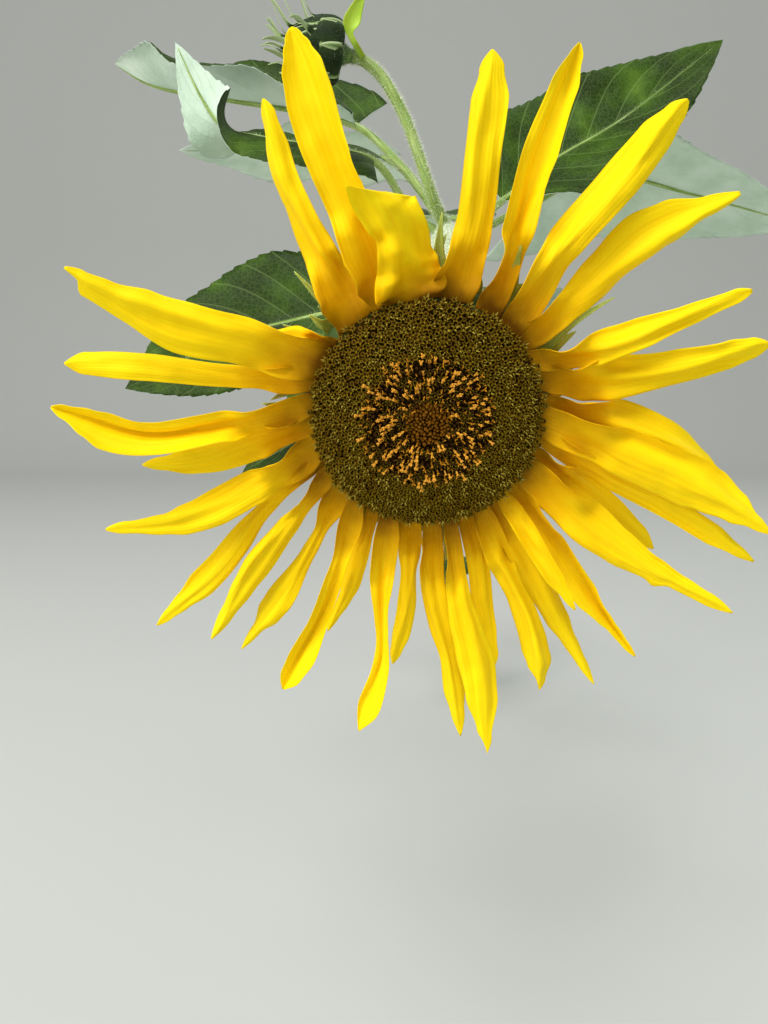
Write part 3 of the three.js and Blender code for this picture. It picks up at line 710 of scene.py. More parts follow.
drawn_out = add_node(tree, "ShaderNodeVectorMath", {0: pattern, 1: (7.0, 1.3, 31.0)}, operation="MULTIPLY")
grain, grained = mottle(tree, drawn_out, 1.0, 3.0, [(0.3, "#F2CE40"), (0.6, "#FFFFFF")])
mixed = {0: 0.3, 6: foot_tint_and_shade, 7: grained}
mixed = add_node(tree, "ShaderNodeMix", mixed, out=2, data_type="RGBA", blend_type="MULTIPLY")
height = add_node(tree, "ShaderNodeMath", {0: nerve_wave, 1: grain}, operation="ADD")
dress(tree, shader, mixed, height, 0.15, 0.0002)


def smooth_step(value, low, high):
    share = np.clip((value - low) / (high - low), 0.0, 1.0)
    return share * share * (3 - 2 * share)


def wave(turns):
    """A sine by whole turns."""
    return np.sin(2 * math.pi * turns)


def width_share(outline, s):
    """The share of half the width at a share of the length, smooth between an outline's points."""
    for (start, first), (end, last) in zip(outline, outline[1:]):
        if s <= end:
            run = (s - start) / (end - start)
            blend = run**1.6 if end == 1 else run * run * (3 - 2 * run)
            return first + (last - first) * blend
    return outline[-1][1]


def summed(rate, v):
    """A rate summed up across a blade, from nought at its middle."""
    steps = (rate[1:] + rate[:-1]) / 2 * np.diff(v)
    total = np.concatenate([[0.0], np.cumsum(steps)])
    return total - total[len(v) // 2]


def ray_surface(number, row):
    """A ray's surface. Its folds are drawn at random, always alike for one number. Slopes are angles
    across the blade, and its halves are widened so that the outline is the one that is seen."""
    foot, tip, reach, bend_in, bend_out, width, lift, roll, layer = row
    seat = -SEAT_DEPTH + RAY_SEAT + layer * RAY_LAYER_PITCH
    start = polar(foot, RAY_START, seat)
    reach_out = polar(tip, reach, seat) - start
    length = np.linalg.norm(reach_out)
    aside = unit(np.array((-reach_out[1], reach_out[0], 0.0)))

    def through(share, bend):
        run = min(1, length * share / RAY_SPREAD_RUN)
        point = start + reach_out * share + aside * bend
        point[2] = seat + (layer * RAY_LAYER_SPREAD - RAY_SINK) * run + lift * share * share
        return point

    rib = smooth_line([start, through(1 / 3, bend_in), through(2 / 3, bend_out), through(1, 0)])
    draw = random.Random(number * RAY_SEED)
    sides = RAY_OUTLINES.get(number, PLAIN_OUTLINE)
    sides = sides if isinstance(sides[0], tuple) else (sides, sides)
    sides = [[(along / 100, half / 100) for along, half in zip(side[::2], side[1::2])] for side in sides]
    uneven = [draw.uniform(0, 1) for _ in sides]
    lit = math.copysign(1, reach_out[1] * LIGHT_SIDE[0] - reach_out[0] * LIGHT_SIDE[1])
    bowl = draw.uniform(0.1, 0.3)
    hood = draw.uniform(0.7, 1.2)
    waist = draw.uniform(0.24, 0.36)
    hood_turn = lit * math.radians(draw.uniform(14, 38))
    blade_turn = lit * math.radians(draw.uniform(0, 20))
    fold = draw.choice((-1, -1, 1)) * draw.uniform(0.5, 0.95)
    crease_middle = draw.uniform(-0.3, 0.3)
    crease_swing = draw.uniform(0.15, 0.45)
    crease_phase = draw.uniform(0, 1)
    curl_side = draw.choice((-1, 1))
    curl = draw.uniform(0.5, 1.3)
    curl_place = draw.uniform(0.35, 0.85)
    curl_spread = draw.uniform(0.1, 0.2)
    wobble = math.radians(draw.uniform(5, 14))
    wobble_phase = draw.uniform(0, 1)
    pleats = draw.uniform(1.6, 2.6)
    pleat = draw.uniform(0.4, 0.65)
    pleat_drift = draw.uniform(-2.5, 2.5)
    ruffle = draw.uniform(0.15, 0.4)
    ruffle_pace = draw.uniform(2.0, 3.4)
    crumple = RAY_CRUMPLES.get(number, RAY_CRUMPLE)

    def at(s, v):
        place, along = rib(s)
        if s == 0:
            along = polar(foot, 1, 0)
        up = square_to(along, FORWARD)
        side = np.cross(up, along)
        onset = {shape: smooth_step(s, *limits) for shape, limits in RAY_ONSETS.items()}
        turn = math.radians(roll * s) - hood_turn * onset["hood"]
        turn += (hood_turn + blade_turn) * smooth_step(s, waist - RAY_WAIST_RUN, waist + RAY_WAIST_RUN)
        turn += wobble * wave(RAY_WOBBLE_WAVES * s + wobble_phase) * onset["wobble"]
        crease = crease_middle + crease_swing * wave(RAY_CREASE_WAVES * s + crease_phase)
        slope = (bowl + hood * math.exp(-(((s - RAY_HOOD_PLACE) / RAY_HOOD_SPREAD) ** 2))) * v
        slope += fold * onset["fold"] * np.tanh((v - crease) / RAY_CREASE_WIDTH)
        pleated = math.pi * pleats * v + pleat_drift * s + 2 * math.pi * crease_phase
        slope += pleat * np.sin(pleated) * onset["pleats"] * (1 - onset["end"])
        rolled = curl * math.exp(-(((s - curl_place) / curl_spread) ** 2))
        slope += curl_side * rolled * smooth_step(curl_side * v, RAY_CURL_START, 1)
        slope += ruffle * wave(ruffle_pace * s + 0.2 * v) * v * np.abs(v)
        slope = (slope - slope.mean()) * onset["width"] + turn
        slope = np.clip(slope, -RAY_STEEPEST, RAY_STEEPEST)
        seen = [
            width * RAY_HALF * width_share(outline, s)
            * (1 + RAY_WAVER * wave(RAY_OUTLINE_WAVES * s + phase))
            for outline, phase in zip(sides, uneven)
        ]
        half = np.where(v > 0, seen[0], seen[1]) + RAY_THICKNESS / 2
        across = summed(half * np.cos(slope), v)
        widening = np.clip(half[[0, -1]] / np.abs(across[[0, -1]]), 1, RAY_WIDEST)
        half = half * np.where(v > 0, widening[0], widening[1])
        across = summed(half * np.cos(slope), v)
        rise = summed(half * np.sin(slope), v)
        rise = rise - rise.mean() * RAY_LEVEL
        rise += RAY_NERVE_HEIGHT * np.cos(RAY_NERVES * math.pi * v) * (1 - v * v)
        rise += [
            crumple * onset["crumple"]
            * noise.noise(Vector((number, s * length / CRUMPLE_RUN, a * half[0] / CRUMPLE_RUN)))
            for a in v
        ]
        slant = RAY_SLANTS.get(number, 0) * width / 2 * onset["slant"]
        normals = np.outer(np.cos(slope), up) - np.outer(np.sin(slope), side)
        return place + np.outer(across, side) + np.outer(rise, up) + np.outer(slant * v, along), normals

    return at


for number, row in enumerate(RAY_FLORETS, 1):
    name = f"ray_{number:02d}"
    ray_skin = new_skin()
    scale = number / len(RAY_FLORETS)
    add_blade(ray_skin, RAY_GRID, ray_surface(number, row), RAY_THICKNESS, (0, 0), scale, on_head)
    make_piece(name, ray_skin, [ray_finish])

# Disc: some fifteen hundred tube florets in spirals on a low dome. Those at the edge are open and dry,
# with small yellow-green lobes. Those of the ring inside it hold up orange pollen sticks, and the ones
# in the middle are still closed and lean together. Each lot is a piece with one plain finish.
DISC_RADIUS = 55
DISC_DOME = 14
DISC_LIP = 3.5
DISC_LIP_HEIGHT = 4
GOLDEN_ANGLE = math.pi * (3 - math.sqrt(5))
DEGREE = math.radians(1)
DISC_RINGS = 24
# How far the chaffy ground lies under the florets' tops, and how far in from the edge florets stand.
GROUND_DEPTH = 2.5
FLORET_MARGIN = 1.5

# Dark chaffy ground between the florets: dull brown, almost black.
ground_finish, tree, shader = new_material("dark chaff", 0.9, {"Specular IOR Level": 0.05})
_, _, place = places_on(tree)
_, chaff = mottle(tree, place, 700.0, 3.0, [(0.35, "#2A1B04"), (0.7, "#4A340A")])
tree.links.new(chaff, shader["Base Color"])

wall = DISC_RADIUS - DISC_LIP
dome_height = DISC_DOME - DISC_LIP_HEIGHT - GROUND_DEPTH
disc_profile = [(0, -SEAT_DEPTH), (wall, -SEAT_DEPTH), (wall, DISC_LIP_HEIGHT - 2)]
for angle in reversed(quarter_turn(DISC_RINGS)):
    radius = (DISC_RADIUS - GROUND_DEPTH) * math.sin(angle)
    disc_profile.append((radius, DISC_LIP_HEIGHT + dome_height * math.cos(angle)))
disc_skin = new_skin()
add_turned(disc_skin, disc_profile, TURNED_SEGMENTS, 0, on_head)
make_piece("seed_disc", disc_skin, [ground_finish])


def new_tree(name, units):
    """A Geometry Nodes tree with named inputs, as sockets by name. The unit of an input is 1 for a
    count, a decimal for any other number, None for a material and "mesh" for the geometry."""
    kinds = {int: "Int", float: "Float", str: "Geometry", type(None): "Material"}
    tree = bpy.data.node_groups.new(name, "GeometryNodeTree")
    for label, unit in units.items():
        tree.interface.new_socket(label, in_out="INPUT", socket_type="NodeSocket" + kinds[type(unit)])
    tree.interface.new_socket("Made", in_out="OUTPUT", socket_type="NodeSocketGeometry")
    return tree, dict(tree.nodes.new("NodeGroupInput").outputs.items())


def end_tree(tree, instances, finish):
    """Ends a tree: its instances become one plain mesh with one finish."""
    joined = add_node(tree, "GeometryNodeRealizeInstances", {"Geometry": instances})
    dressed = add_node(tree, "GeometryNodeSetMaterial", {"Geometry": joined, "Material": finish})
    tree.links.new(dressed, tree.nodes.new("NodeGroupOutput").inputs[0])


def grow(name, tree, mesh, units, values):
    """What a tree makes of a mesh, as a plain piece. Each value is in the unit of its input."""
    piece = new_object(name, mesh)
    modifier = piece.modifiers.new(tree.name, "NODES")
    modifier.node_group = tree
    sockets = {item.name: item.identifier for item in tree.interface.items_tree if item.in_out == "INPUT"}
    for (label, unit), value in zip(units.items(), values):
        if value is not None:
            modifier[sockets[label]] = value if unit is None else value * unit
    evaluated = piece.evaluated_get(bpy.context.evaluated_depsgraph_get())
    made = bpy.data.meshes.new_from_object(evaluated)
    piece.modifiers.remove(modifier)
    piece.data = made
    made.name = name
    return place_piece(piece, ())


FLORET_UNITS = {
    "Finish": None, "Count": 1, "Inner share": 1.0, "Outer share": 1.0, "Seed": 1, "Share kept": 1.0,
    "Stand": MM, "Lobes": 1, "Lobe circle": MM, "Lobe height": MM, "Lobe lean": DEGREE, "Sides": 1,
    "Foot radius": MM, "Tip radius": MM, "Length": MM, "Lean": DEGREE, "Unevenness": DEGREE,
    "Size spread": 1.0, "Disc radius": MM, "Rim height": MM, "Dome height": MM,
}
floret_tree, at = new_tree("florets in spirals", FLORET_UNITS)
at["index"] = add_node(floret_tree, "GeometryNodeInputIndex")
# Sums of the floret tree: the result, the operation and what it takes. Each floret takes an equal area
# of its ring, so its share of the radius goes by a square root.
FLORET_SUMS = [
    ("number", "ADD", "index", 0.5),
    ("counted", "DIVIDE", "number", "Count"),
    ("inner square", "POWER", "Inner share", 2.0),
    ("outer square", "POWER", "Outer share", 2.0),
    ("ring", "SUBTRACT", "outer square", "inner square"),
    ("square", "MULTIPLY_ADD", "counted", "ring", "inner square"),
    ("share", "SQRT", "square"),
    ("turn", "MULTIPLY", "index", GOLDEN_ANGLE),
    ("cosine", "COSINE", "turn"),
    ("sine", "SINE", "turn"),
    ("radius", "MULTIPLY", "share", "Disc radius"),
    ("x", "MULTIPLY", "radius", "cosine"),
    ("y", "MULTIPLY", "radius", "sine"),
    ("rest", "SUBTRACT", 1.0, "square"),
    ("least rest", "MAXIMUM", "rest", 0.02),
    ("flatness", "SQRT", "least rest"),
    ("height", "MULTIPLY_ADD", "Dome height", "flatness", "Rim height"),
    ("z", "ADD", "height", "Stand"),
    ("rise", "MULTIPLY", "share", "Dome height"),
    ("run", "MULTIPLY", "Disc radius", "flatness"),
    ("slope", "ARCTAN2", "rise", "run"),
    ("lean", "ADD", "slope", "Lean"),
    ("least lean", "SUBTRACT", "lean", "Unevenness"),
    ("most lean", "ADD", "lean", "Unevenness"),
    ("lobe share", "MULTIPLY", "index", 2 * math.pi),
    ("lobe turn", "DIVIDE", "lobe share", "Lobes"),
    ("lobe cosine", "COSINE", "lobe turn"),
    ("lobe sine", "SINE", "lobe turn"),
    ("lobe x", "MULTIPLY", "Lobe circle", "lobe cosine"),
    ("lobe y", "MULTIPLY", "Lobe circle", "lobe sine"),
    ("least size", "SUBTRACT", 1.0, "Size spread"),
    ("most size", "ADD", 1.0, "Size spread"),
    ("size seed", "ADD", "Seed", 1.0),
    ("kept seed", "ADD", "Seed", 2.0),
    ("spin seed", "ADD", "Seed", 3.0),
]
for result, operation, *terms in FLORET_SUMS:
    taken = {i: at[term] if isinstance(term, str) else term for i, term in enumerate(terms)}
    at[result] = add_node(floret_tree, "ShaderNodeMath", taken, operation=operation)
# What is drawn at random for each floret: the result, its type, its limits or chance, seed and output.
for result, kind, taken, seed, out in (
    ("drawn lean", "FLOAT", {2: at["least lean"], 3: at["most lean"]}, at["Seed"], 1),
    ("size", "FLOAT", {2: at["least size"], 3: at["most size"]}, at["size seed"], 1),
    ("kept", "BOOLEAN", {"Probability": at["Share kept"]}, at["kept seed"], 3),
    ("spin", "FLOAT_VECTOR", {0: (0, 0, 0), 1: (0, 0, 2 * math.pi)}, at["spin seed"], 0),
):
    taken["Seed"] = seed
    at[result] = add_node(floret_tree, "FunctionNodeRandomValue", taken, out=out, data_type=kind)
for result, x, y, z in (
    ("place", at["x"], at["y"], at["z"]),
    ("stance", 0.0, at["drawn lean"], at["turn"]),
    ("lobe place", at["lobe x"], at["lobe y"], at["Lobe height"]),
    ("lobe stance", 0.0, at["Lobe lean"], at["lobe turn"]),
):
    at[result] = add_node(floret_tree, "ShaderNodeCombineXYZ", {"X": x, "Y": y, "Z": z})
for result in ("stance", "lobe stance", "spin"):
    at[result] = add_node(floret_tree, "FunctionNodeEulerToRotation", {"Euler": at[result]})
spots = add_node(floret_tree, "GeometryNodePoints", {"Count": at["Count"], "Position": at["place"]})
lobe_spots = add_node(floret_tree, "GeometryNodePoints", {"Count": at["Lobes"], "Position": at["lobe place"]})
lobe = add_node(floret_tree, "GeometryNodeMeshCone", {
    "Vertices": at["Sides"],
    "Radius Bottom": at["Foot radius"],
    "Radius Top": at["Tip radius"],
    "Depth": at["Length"],
})
lobes = {"Points": lobe_spots, "Instance": lobe, "Rotation": at["lobe stance"]}
lobes = add_node(floret_tree, "GeometryNodeInstanceOnPoints", lobes)
florets = add_node(floret_tree, "GeometryNodeInstanceOnPoints", {
    "Points": spots,
    "Selection": at["kept"],
    "Instance": lobes,
    "Rotation": at["stance"],
    "Scale": at["size"],
})
spun = {"Instances": florets, "Rotation": at["spin"]}
spun = add_node(floret_tree, "GeometryNodeRotateInstances", spun)
end_tree(floret_tree, spun, at["Finish"])

# Floret finishes: name, colour and roughness. Petal tissue and pollen are matt, and each lot is so
# small that one plain colour reads true.
FLORET_FINISHES = {
    # Open floret tubes: olive-brown, dull.
    "olive floret tube": ("#604709", 0.8),
    # The dark mouth of an open floret.
    "dark floret mouth": ("#2C1B04", 0.9),
    # Tips of the floret lobes: green olive and paler olive.
    "olive floret lobe": ("#7A650F", 0.7),
    "pale floret lobe": ("#968530", 0.7),
    # Anther tubes: brown-black.
    "dark anther tube": ("#38230A", 0.7),
    # Pollen on the anthers and styles: orange grains on brown, and lighter curled tips.
    "orange pollen": ("#CC8A22", 0.75),
    "brown pollen": ("#94600F", 0.75),
    "pale pollen": ("#DCA03A", 0.75),
    # Florets still closed in the middle: two warm browns.
    "brown closed floret": ("#6C4408", 0.8),
    "light brown closed floret": ("#875812", 0.8),
}
floret_finishes = {}
for name, (code, roughness) in FLORET_FINISHES.items():
    values = {"Specular IOR Level": 0.05, "Base Color": colour(code)}
    floret_finishes[name], _, _ = new_material(name, roughness, values)

# Rings of florets: count, inner share and outer share of the disc.
EDGE = (880, 0.54, 0.99)
RING = (460, 0.16, 0.56)
HEART = (120, 0.0, 0.2)
# Each lot: finish, ring, seed, share kept, then stand, lobes, lobe circle, lobe height, lobe lean, sides,
# foot radius, tip radius, length, lean, unevenness and size spread. Angles are in degrees, and lots
# with one seed sit on one another.
FLORET_LOTS = {
    "edge_tubes": ("olive floret tube", EDGE, 1, 1, 0.2, 1, 0, 0, 0, 7, 0.9, 1.15, 2.3, 12, 8, 0.15),
    "edge_mouths": ("dark floret mouth", EDGE, 1, 1, 0.2, 1, 0, 2.1, 0, 6, 0.5, 0.6, 0.3, 12, 8, 0.15),
    "edge_lobes": ("olive floret lobe", EDGE, 1, 0.9, 0.2, 5, 0.85, 1.9, 38, 3, 0.5, 0.1, 1.6, 12, 8, 0.15),
    "edge_tips": ("pale floret lobe", EDGE, 11, 0.35, 0.6, 3, 0.6, 2.2, 30, 3, 0.4, 0.1, 1.5, 12, 14, 0.3),
    "ring_tubes": ("dark anther tube", RING, 21, 1, 0.2, 1, 0, 0, 0, 6, 0.85, 0.7, 2.9, 9, 10, 0.15),
    "ring_lobes": ("olive floret lobe", RING, 21, 0.45, 0.2, 5, 0.85, 2.0, 44, 3, 0.4, 0.1, 1.4, 9, 10, 0.15),
    "orange_rods": ("orange pollen", RING, 31, 0.26, 2.0, 1, 0, 0, 0, 6, 0.36, 0.42, 4.0, 48, 24, 0.25),
    "orange_beads": ("pale pollen", RING, 31, 0.26, 2.0, 1, 0, 1.7, 0, 6, 0.56, 0.5, 0.9, 48, 24, 0.25),
    "orange_knobs": ("pale pollen", RING, 31, 0.26, 2.0, 3, 0.32, 3.5, 20, 5, 0.42, 0.3, 0.9, 48, 24, 0.25),
    "brown_rods": ("brown pollen", RING, 41, 0.5, 2.0, 1, 0, 0, 0, 5, 0.36, 0.26, 2.6, 26, 30, 0.3),
    "brown_knobs": ("orange pollen", RING, 41, 0.5, 2.0, 2, 0.24, 2.3, 40, 4, 0.26, 0.12, 0.8, 26, 30, 0.3),
    "heart_tubes": ("brown closed floret", HEART, 51, 1, 0.2, 1, 0, 0, 0, 7, 1.1, 0.6, 3.0, -10, 10, 0.2),
    "heart_tips": (
        "light brown closed floret", HEART, 51, 0.6, 0.2, 3, 0.4, 2.6, -12, 4, 0.36, 0.15, 1.0, -10, 10, 0.2,
    ),
}
disc_sizes = (DISC_RADIUS - FLORET_MARGIN, DISC_LIP_HEIGHT, dome_height)
for name, (finish, ring, *sizes) in FLORET_LOTS.items():
    values = (floret_finishes[finish], *ring, *sizes, *disc_sizes)
    piece = grow(name, floret_tree, bpy.data.meshes.new(name), FLORET_UNITS, values)
    piece.data.transform(Matrix.Scale(MM, 4) @ head_place @ Matrix.Scale(1 / MM, 4))

# Bud: a closed green head of bulging, overlapping scales with pale hairy rims, over a downy cup. Each
# scale is drawn out into a long curled thread. It sits on its own stalk, beside a small bright leaf.
BUD_FOOT = (-249, -1351, 948)
BUD_AXIS = (-0.98, -0.16, 0.12)
BUD_STALK_FOOT = 0.99
BUD_STALK_RADIUS = 3.75
BUD_STALK_PATH = [(-200, -1358, 865), (-209, -1356, 891), (-218.5, -1354, 915), (-232, -1352, 937)]
# Outlines about the bud's axis: radius and height, in millimetres.
BUD_CUP = [(0, 0), (4, 0), (4.6, 2.2), (6.2, 5), (8, 8), (10, 10.5), (12.5, 13.5), (12, 15), (0, 15)]
BUD_CORE = [(0, 8), (9, 9), (15.5, 13), (16.4, 19), (14.5, 26), (9, 33), (4, 36.5), (0, 38)]
# Whorls of scales: count, first angle, and the middle line of a scale, as radius, height and half width.
BUD_WHORLS = [
    (7, 15, [
        (7, 8.6, 5.5), (15.8, 8.4, 9.5), (18.6, 13, 10.5), (18.4, 20, 9), (17.6, 26, 4.6), (20, 31, 2),
        (25, 36, 1.4), (29, 41, 0.5),
    ]),
    (6, 48, [
        (8, 15, 6), (16.4, 17.5, 8.5), (17.6, 24, 8), (14.6, 31, 5), (12.5, 37, 2.1), (14, 44, 1.4),
        (18, 51, 0.4),
    ]),
    (5, 10, [(6, 26, 4.5), (12.5, 29, 6), (10.5, 35, 4.4), (5.5, 40, 2.2), (5, 46, 1.2), (8, 52, 0.4)]),
]
BUD_SEED = 4
BUD_SIDES = 36
BUD_SLIMNESS = np.array((0.93, 0.93, 1.0))
BUD_STRETCH = (0.92, 1.06)
BUD_SWAY = 0.5
BUD_SKYWARD = np.array((0.0, 1.0, 0.0))
BUD_STALK_STEPS = 110
BUD_STALK_SIDES = 20
BUD_STALK_GAP = 0.3
SCALE_GRID = (44, 14)
SCALE_THICKNESS = 0.7
# How far a scale's thread rises, and how much further it does on the bud's upper side.
THREAD_RISE = 4
THREAD_RISE_ABOVE = 11

# Bud scale skin: very dark leafy green, with a pale downy rim.
scale_finish, tree, shader = new_material("dark green bud scale", 0.6, {"Specular IOR Level": 0.1})
_, parts, place = places_on(tree)
edge = add_node(tree, "ShaderNodeMath", {0: parts["X"]}, operation="ABSOLUTE")
thread = {"Value": parts["Y"], "From Min": 0.5, "From Max": 0.72, "To Max": 0.93}
thread = add_node(tree, "ShaderNodeMapRange", thread)
rim = add_node(tree, "ShaderNodeMath", {0: edge, 1: thread}, operation="MAXIMUM")
stops = [(0.0, "#1A2812"), (0.74, "#263818"), (0.87, "#6F8A4E"), (1.0, "#B9C99A")]
rimmed = add_node(tree, "ShaderNodeValToRGB", {"Fac": rim}, stops)
down = add_node(tree, "ShaderNodeTexNoise", {"Vector": place, "Scale": 700.0, "Detail": 3.0})
dress(tree, shader, rimmed, down, 0.35, 0.0004)

bud_foot = np.array(BUD_FOOT, float)
bud_axis = unit(np.array(BUD_AXIS))
bud_turn = np.array(Vector(BUD_AXIS).to_track_quat("Z", "Y").to_matrix())
bud_stalk_line = smooth_line([
    stem_line(BUD_STALK_FOOT)[0],
    *BUD_STALK_PATH,
    bud_foot - BUD_STALK_RADIUS * bud_axis,
    bud_foot - BUD_STALK_GAP * bud_axis,
])


def on_bud(points):
    """Points about the bud's foot, with +Z along the bud and +Y skyward, as they lie on the plant."""
    return np.asarray(points, float) * BUD_SLIMNESS @ bud_turn.T + bud_foot


def scale_surface(angle, middle, sway):
    """A scale's surface: hollow inside, bulging outside, its rim turned out and its tip a thread that
    rises, and rises more on a scale of the upper side."""
    line = smooth_line(middle)
    thread_rise = THREAD_RISE + THREAD_RISE_ABOVE * max(0, math.sin(math.radians(angle)))

    def at(s, v):
        (radius, height, half), (outward, onward, _) = line(s)
        steep = math.hypot(outward, onward)
        turn = math.radians(angle) + sway * s**3 + half * v / max(radius, 6)
        out = np.stack([np.cos(turn), np.sin(turn), np.zeros_like(turn)], axis=1)
        up = (out * onward - FORWARD * outward) / steep
        stand = 0.12 * half * (1 - v * v) + 0.1 * half * smooth_step(np.abs(v), 0.75, 1)
        place = out * radius + FORWARD * height + up * stand[:, None]
        return place + thread_rise * smooth_step(s, 0.6, 1) * BUD_SKYWARD, up

    return at


def bud_stalk_radius(t):
    return BUD_STALK_RADIUS * (0.86 + 0.3 * (2 * t - 1) ** 8)


bud_skin = new_skin()
for profile, finish in ((BUD_CORE, 0), (BUD_CUP, 1)):
    add_turned(bud_skin, profile, BUD_SIDES, finish, on_bud)
    bud_skin["pattern"][-1][:] = 0
draw = random.Random(BUD_SEED)
for count, first, middle in BUD_WHORLS:
    for i in range(count):
        stretch = draw.uniform(*BUD_STRETCH)
        longer = [(radius, height * stretch, half) for radius, height, half in middle]
        surface = scale_surface(first + 360 * i / count, longer, draw.uniform(-BUD_SWAY, BUD_SWAY))
        add_blade(bud_skin, SCALE_GRID, surface, SCALE_THICKNESS, (0, 0), to_plant=on_bud)
bud = make_piece("bud", bud_skin, [scale_finish, cup_finish])
stalk_skin = new_skin()
add_limb(stalk_skin, bud_stalk_line, bud_stalk_radius, BUD_STALK_STEPS, ACROSS, BUD_STALK_SIDES)
bud_stalk = make_piece("bud_stalk", stalk_skin, [stem_finish])

# Leaves: large heart-shaped blades on long hairy stalks. The stalk runs on as the midrib, side veins
# leave it in pairs, the blade is quilted between them and its margin is toothed and waved. The upper
# side is dark and slightly glossy, and the underside is pale, grey-green and matt.
LEAF_WIDEST = 0.3
LEAF_ROOT_SHARE = 0.55
LEAF_GRID = (140, 22)
LEAF_THICKNESS = 0.9
LEAF_TOOTH = 8
LEAF_TOOTH_DEPTH = 1.5
LEAF_QUILTING = 1.3
LEAF_UNEVENNESS = 2.2
LEAF_VEINS = 8
LEAF_VEIN_SWEEP = 2.4
STALK_RADIUS = 3.2
STALK_STEPS = 120
STALK_SIDES = 14
STALK_END = 0.985
BUD_LEAF_FOOT = 0.78
BUD_LEAF_WIDTH = 8.5
BUD_LEAF_RIB = [(-246.5, -1361, 950), (-250, -1362, 957), (-247.5, -1362, 966), (-241.5, -1358, 981)]
BUD_LEAF_GRID = (50, 10)
BUD_LEAF_THICKNESS = 0.7
# Leaves near the head. The stalk and rib are places in millimetres. The face is the way the upper
# side looks at the foot, and tip_face at the tip. Lift is how steeply the half on the side of v = 1
# and the other half rise from the midrib at the foot, and tip_lift at the tip. Rolled is how far each
# margin turns down, in millimetres.
UPPER_LEAVES = {
    "leaf_left_high": dict(
        foot=0.983,
        stalk=[(-200, -1304, 876), (-219, -1284, 905)],
        rib=[
            (-250, -1264, 937), (-291, -1256, 950), (-335, -1251, 958), (-378, -1248, 965),
            (-404, -1246, 972), (-427, -1243, 986),
        ],
        face=(0, -0.04, 1), tip_face=(0, 0.3, 1), width=98, lift=(0.3, 1.4), tip_lift=(0.3, 0.5),
        lobe=0.04, fullness=3.2, rolled=(9, 0),
    ),
    "leaf_left_curled": dict(
        foot=0.975,
        stalk=[(-210, -1300, 868)],
        rib=[
            (-237, -1306, 902), (-279, -1314, 909), (-312, -1312, 915), (-335, -1311, 921),
            (-350, -1309, 940), (-366, -1307, 974),
        ],
        face=(0.1, -0.42, 0.9), tip_face=(0.15, 1, 0.1), width=62, lift=(-0.4, 0), tip_lift=(0, 0),
        lobe=0.07,
    ),
    "leaf_left_back": dict(
        foot=0.945,
        stalk=[(-200, -1225, 900)],
        rib=[(-232, -1199, 934), (-299, -1184, 944), (-397, -1185, 943)],
        face=(0, 0.1, 1), width=88, lift=(0.05, -0.25), fullness=2.8,
    ),
    "leaf_left_low": dict(
        foot=0.994,
        stalk=[(-212, -1352, 822)],
        rib=[(-256, -1337, 803), (-326, -1328, 786), (-405, -1323, 751)],
        face=(-0.1, -0.9, 0.4), width=96, lift=(0.2, 0.2),
    ),
    "leaf_left_hanging": dict(
        foot=0.93,
        stalk=[(-205, -1222, 850)],
        rib=[(-230, -1236, 806), (-275, -1246, 730), (-344, -1234, 684)],
        face=(-0.6, -0.7, 0.4), width=92, lift=(0.2, 0.2),
    ),
    "leaf_right_high": dict(
        foot=0.985,
        stalk=[(-163, -1306, 864)],
        rib=[(-146, -1276, 883), (-108, -1261, 914), (-54, -1250, 947), (19, -1238, 1004)],
        face=(-0.15, -0.85, 0.5), width=106, lift=(0.3, 0.3), lobe=-0.15, fullness=2.6,
    ),
    "leaf_right_wide": dict(
        foot=0.95,
        stalk=[(-150, -1232, 874)],
        rib=[(-120, -1212, 892), (-53, -1180, 926), (30, -1172, 912), (124, -1176, 886)],
        face=(0, 0.6, 0.8), width=112, lift=(-0.2, -0.2),
    ),
    "leaf_back": dict(
        foot=0.9,
        stalk=[(-158, -1168, 886)],
        rib=[(-170, -1150, 898), (-190, -1080, 914), (-205, -970, 908)],
        face=(0, -0.1, 1), width=100, lift=(0.2, 0.2),
    ),
}
# Leaves down the stem. Columns: share of the stem's path, heading of the stalk in degrees
# anticlockwise from +X, length of the stalk and length of the blade.
LOWER_LEAVES = [
    (0.74, 58, 105, 160),
    (0.7, 208, 115, 175),
    (0.59, 305, 115, 190),
    (0.48, 148, 120, 200),
    (0.36, 62, 120, 205),
    (0.24, 248, 110, 190),
]
LOWER_LEAF_SHAPE = 0.72
LOWER_STALK_RISE = 0.6
LOWER_LEAF_DROOP = 0.42
LOWER_LEAF_LIFT = 0.2
LOWER_LEAF_SEED = 20


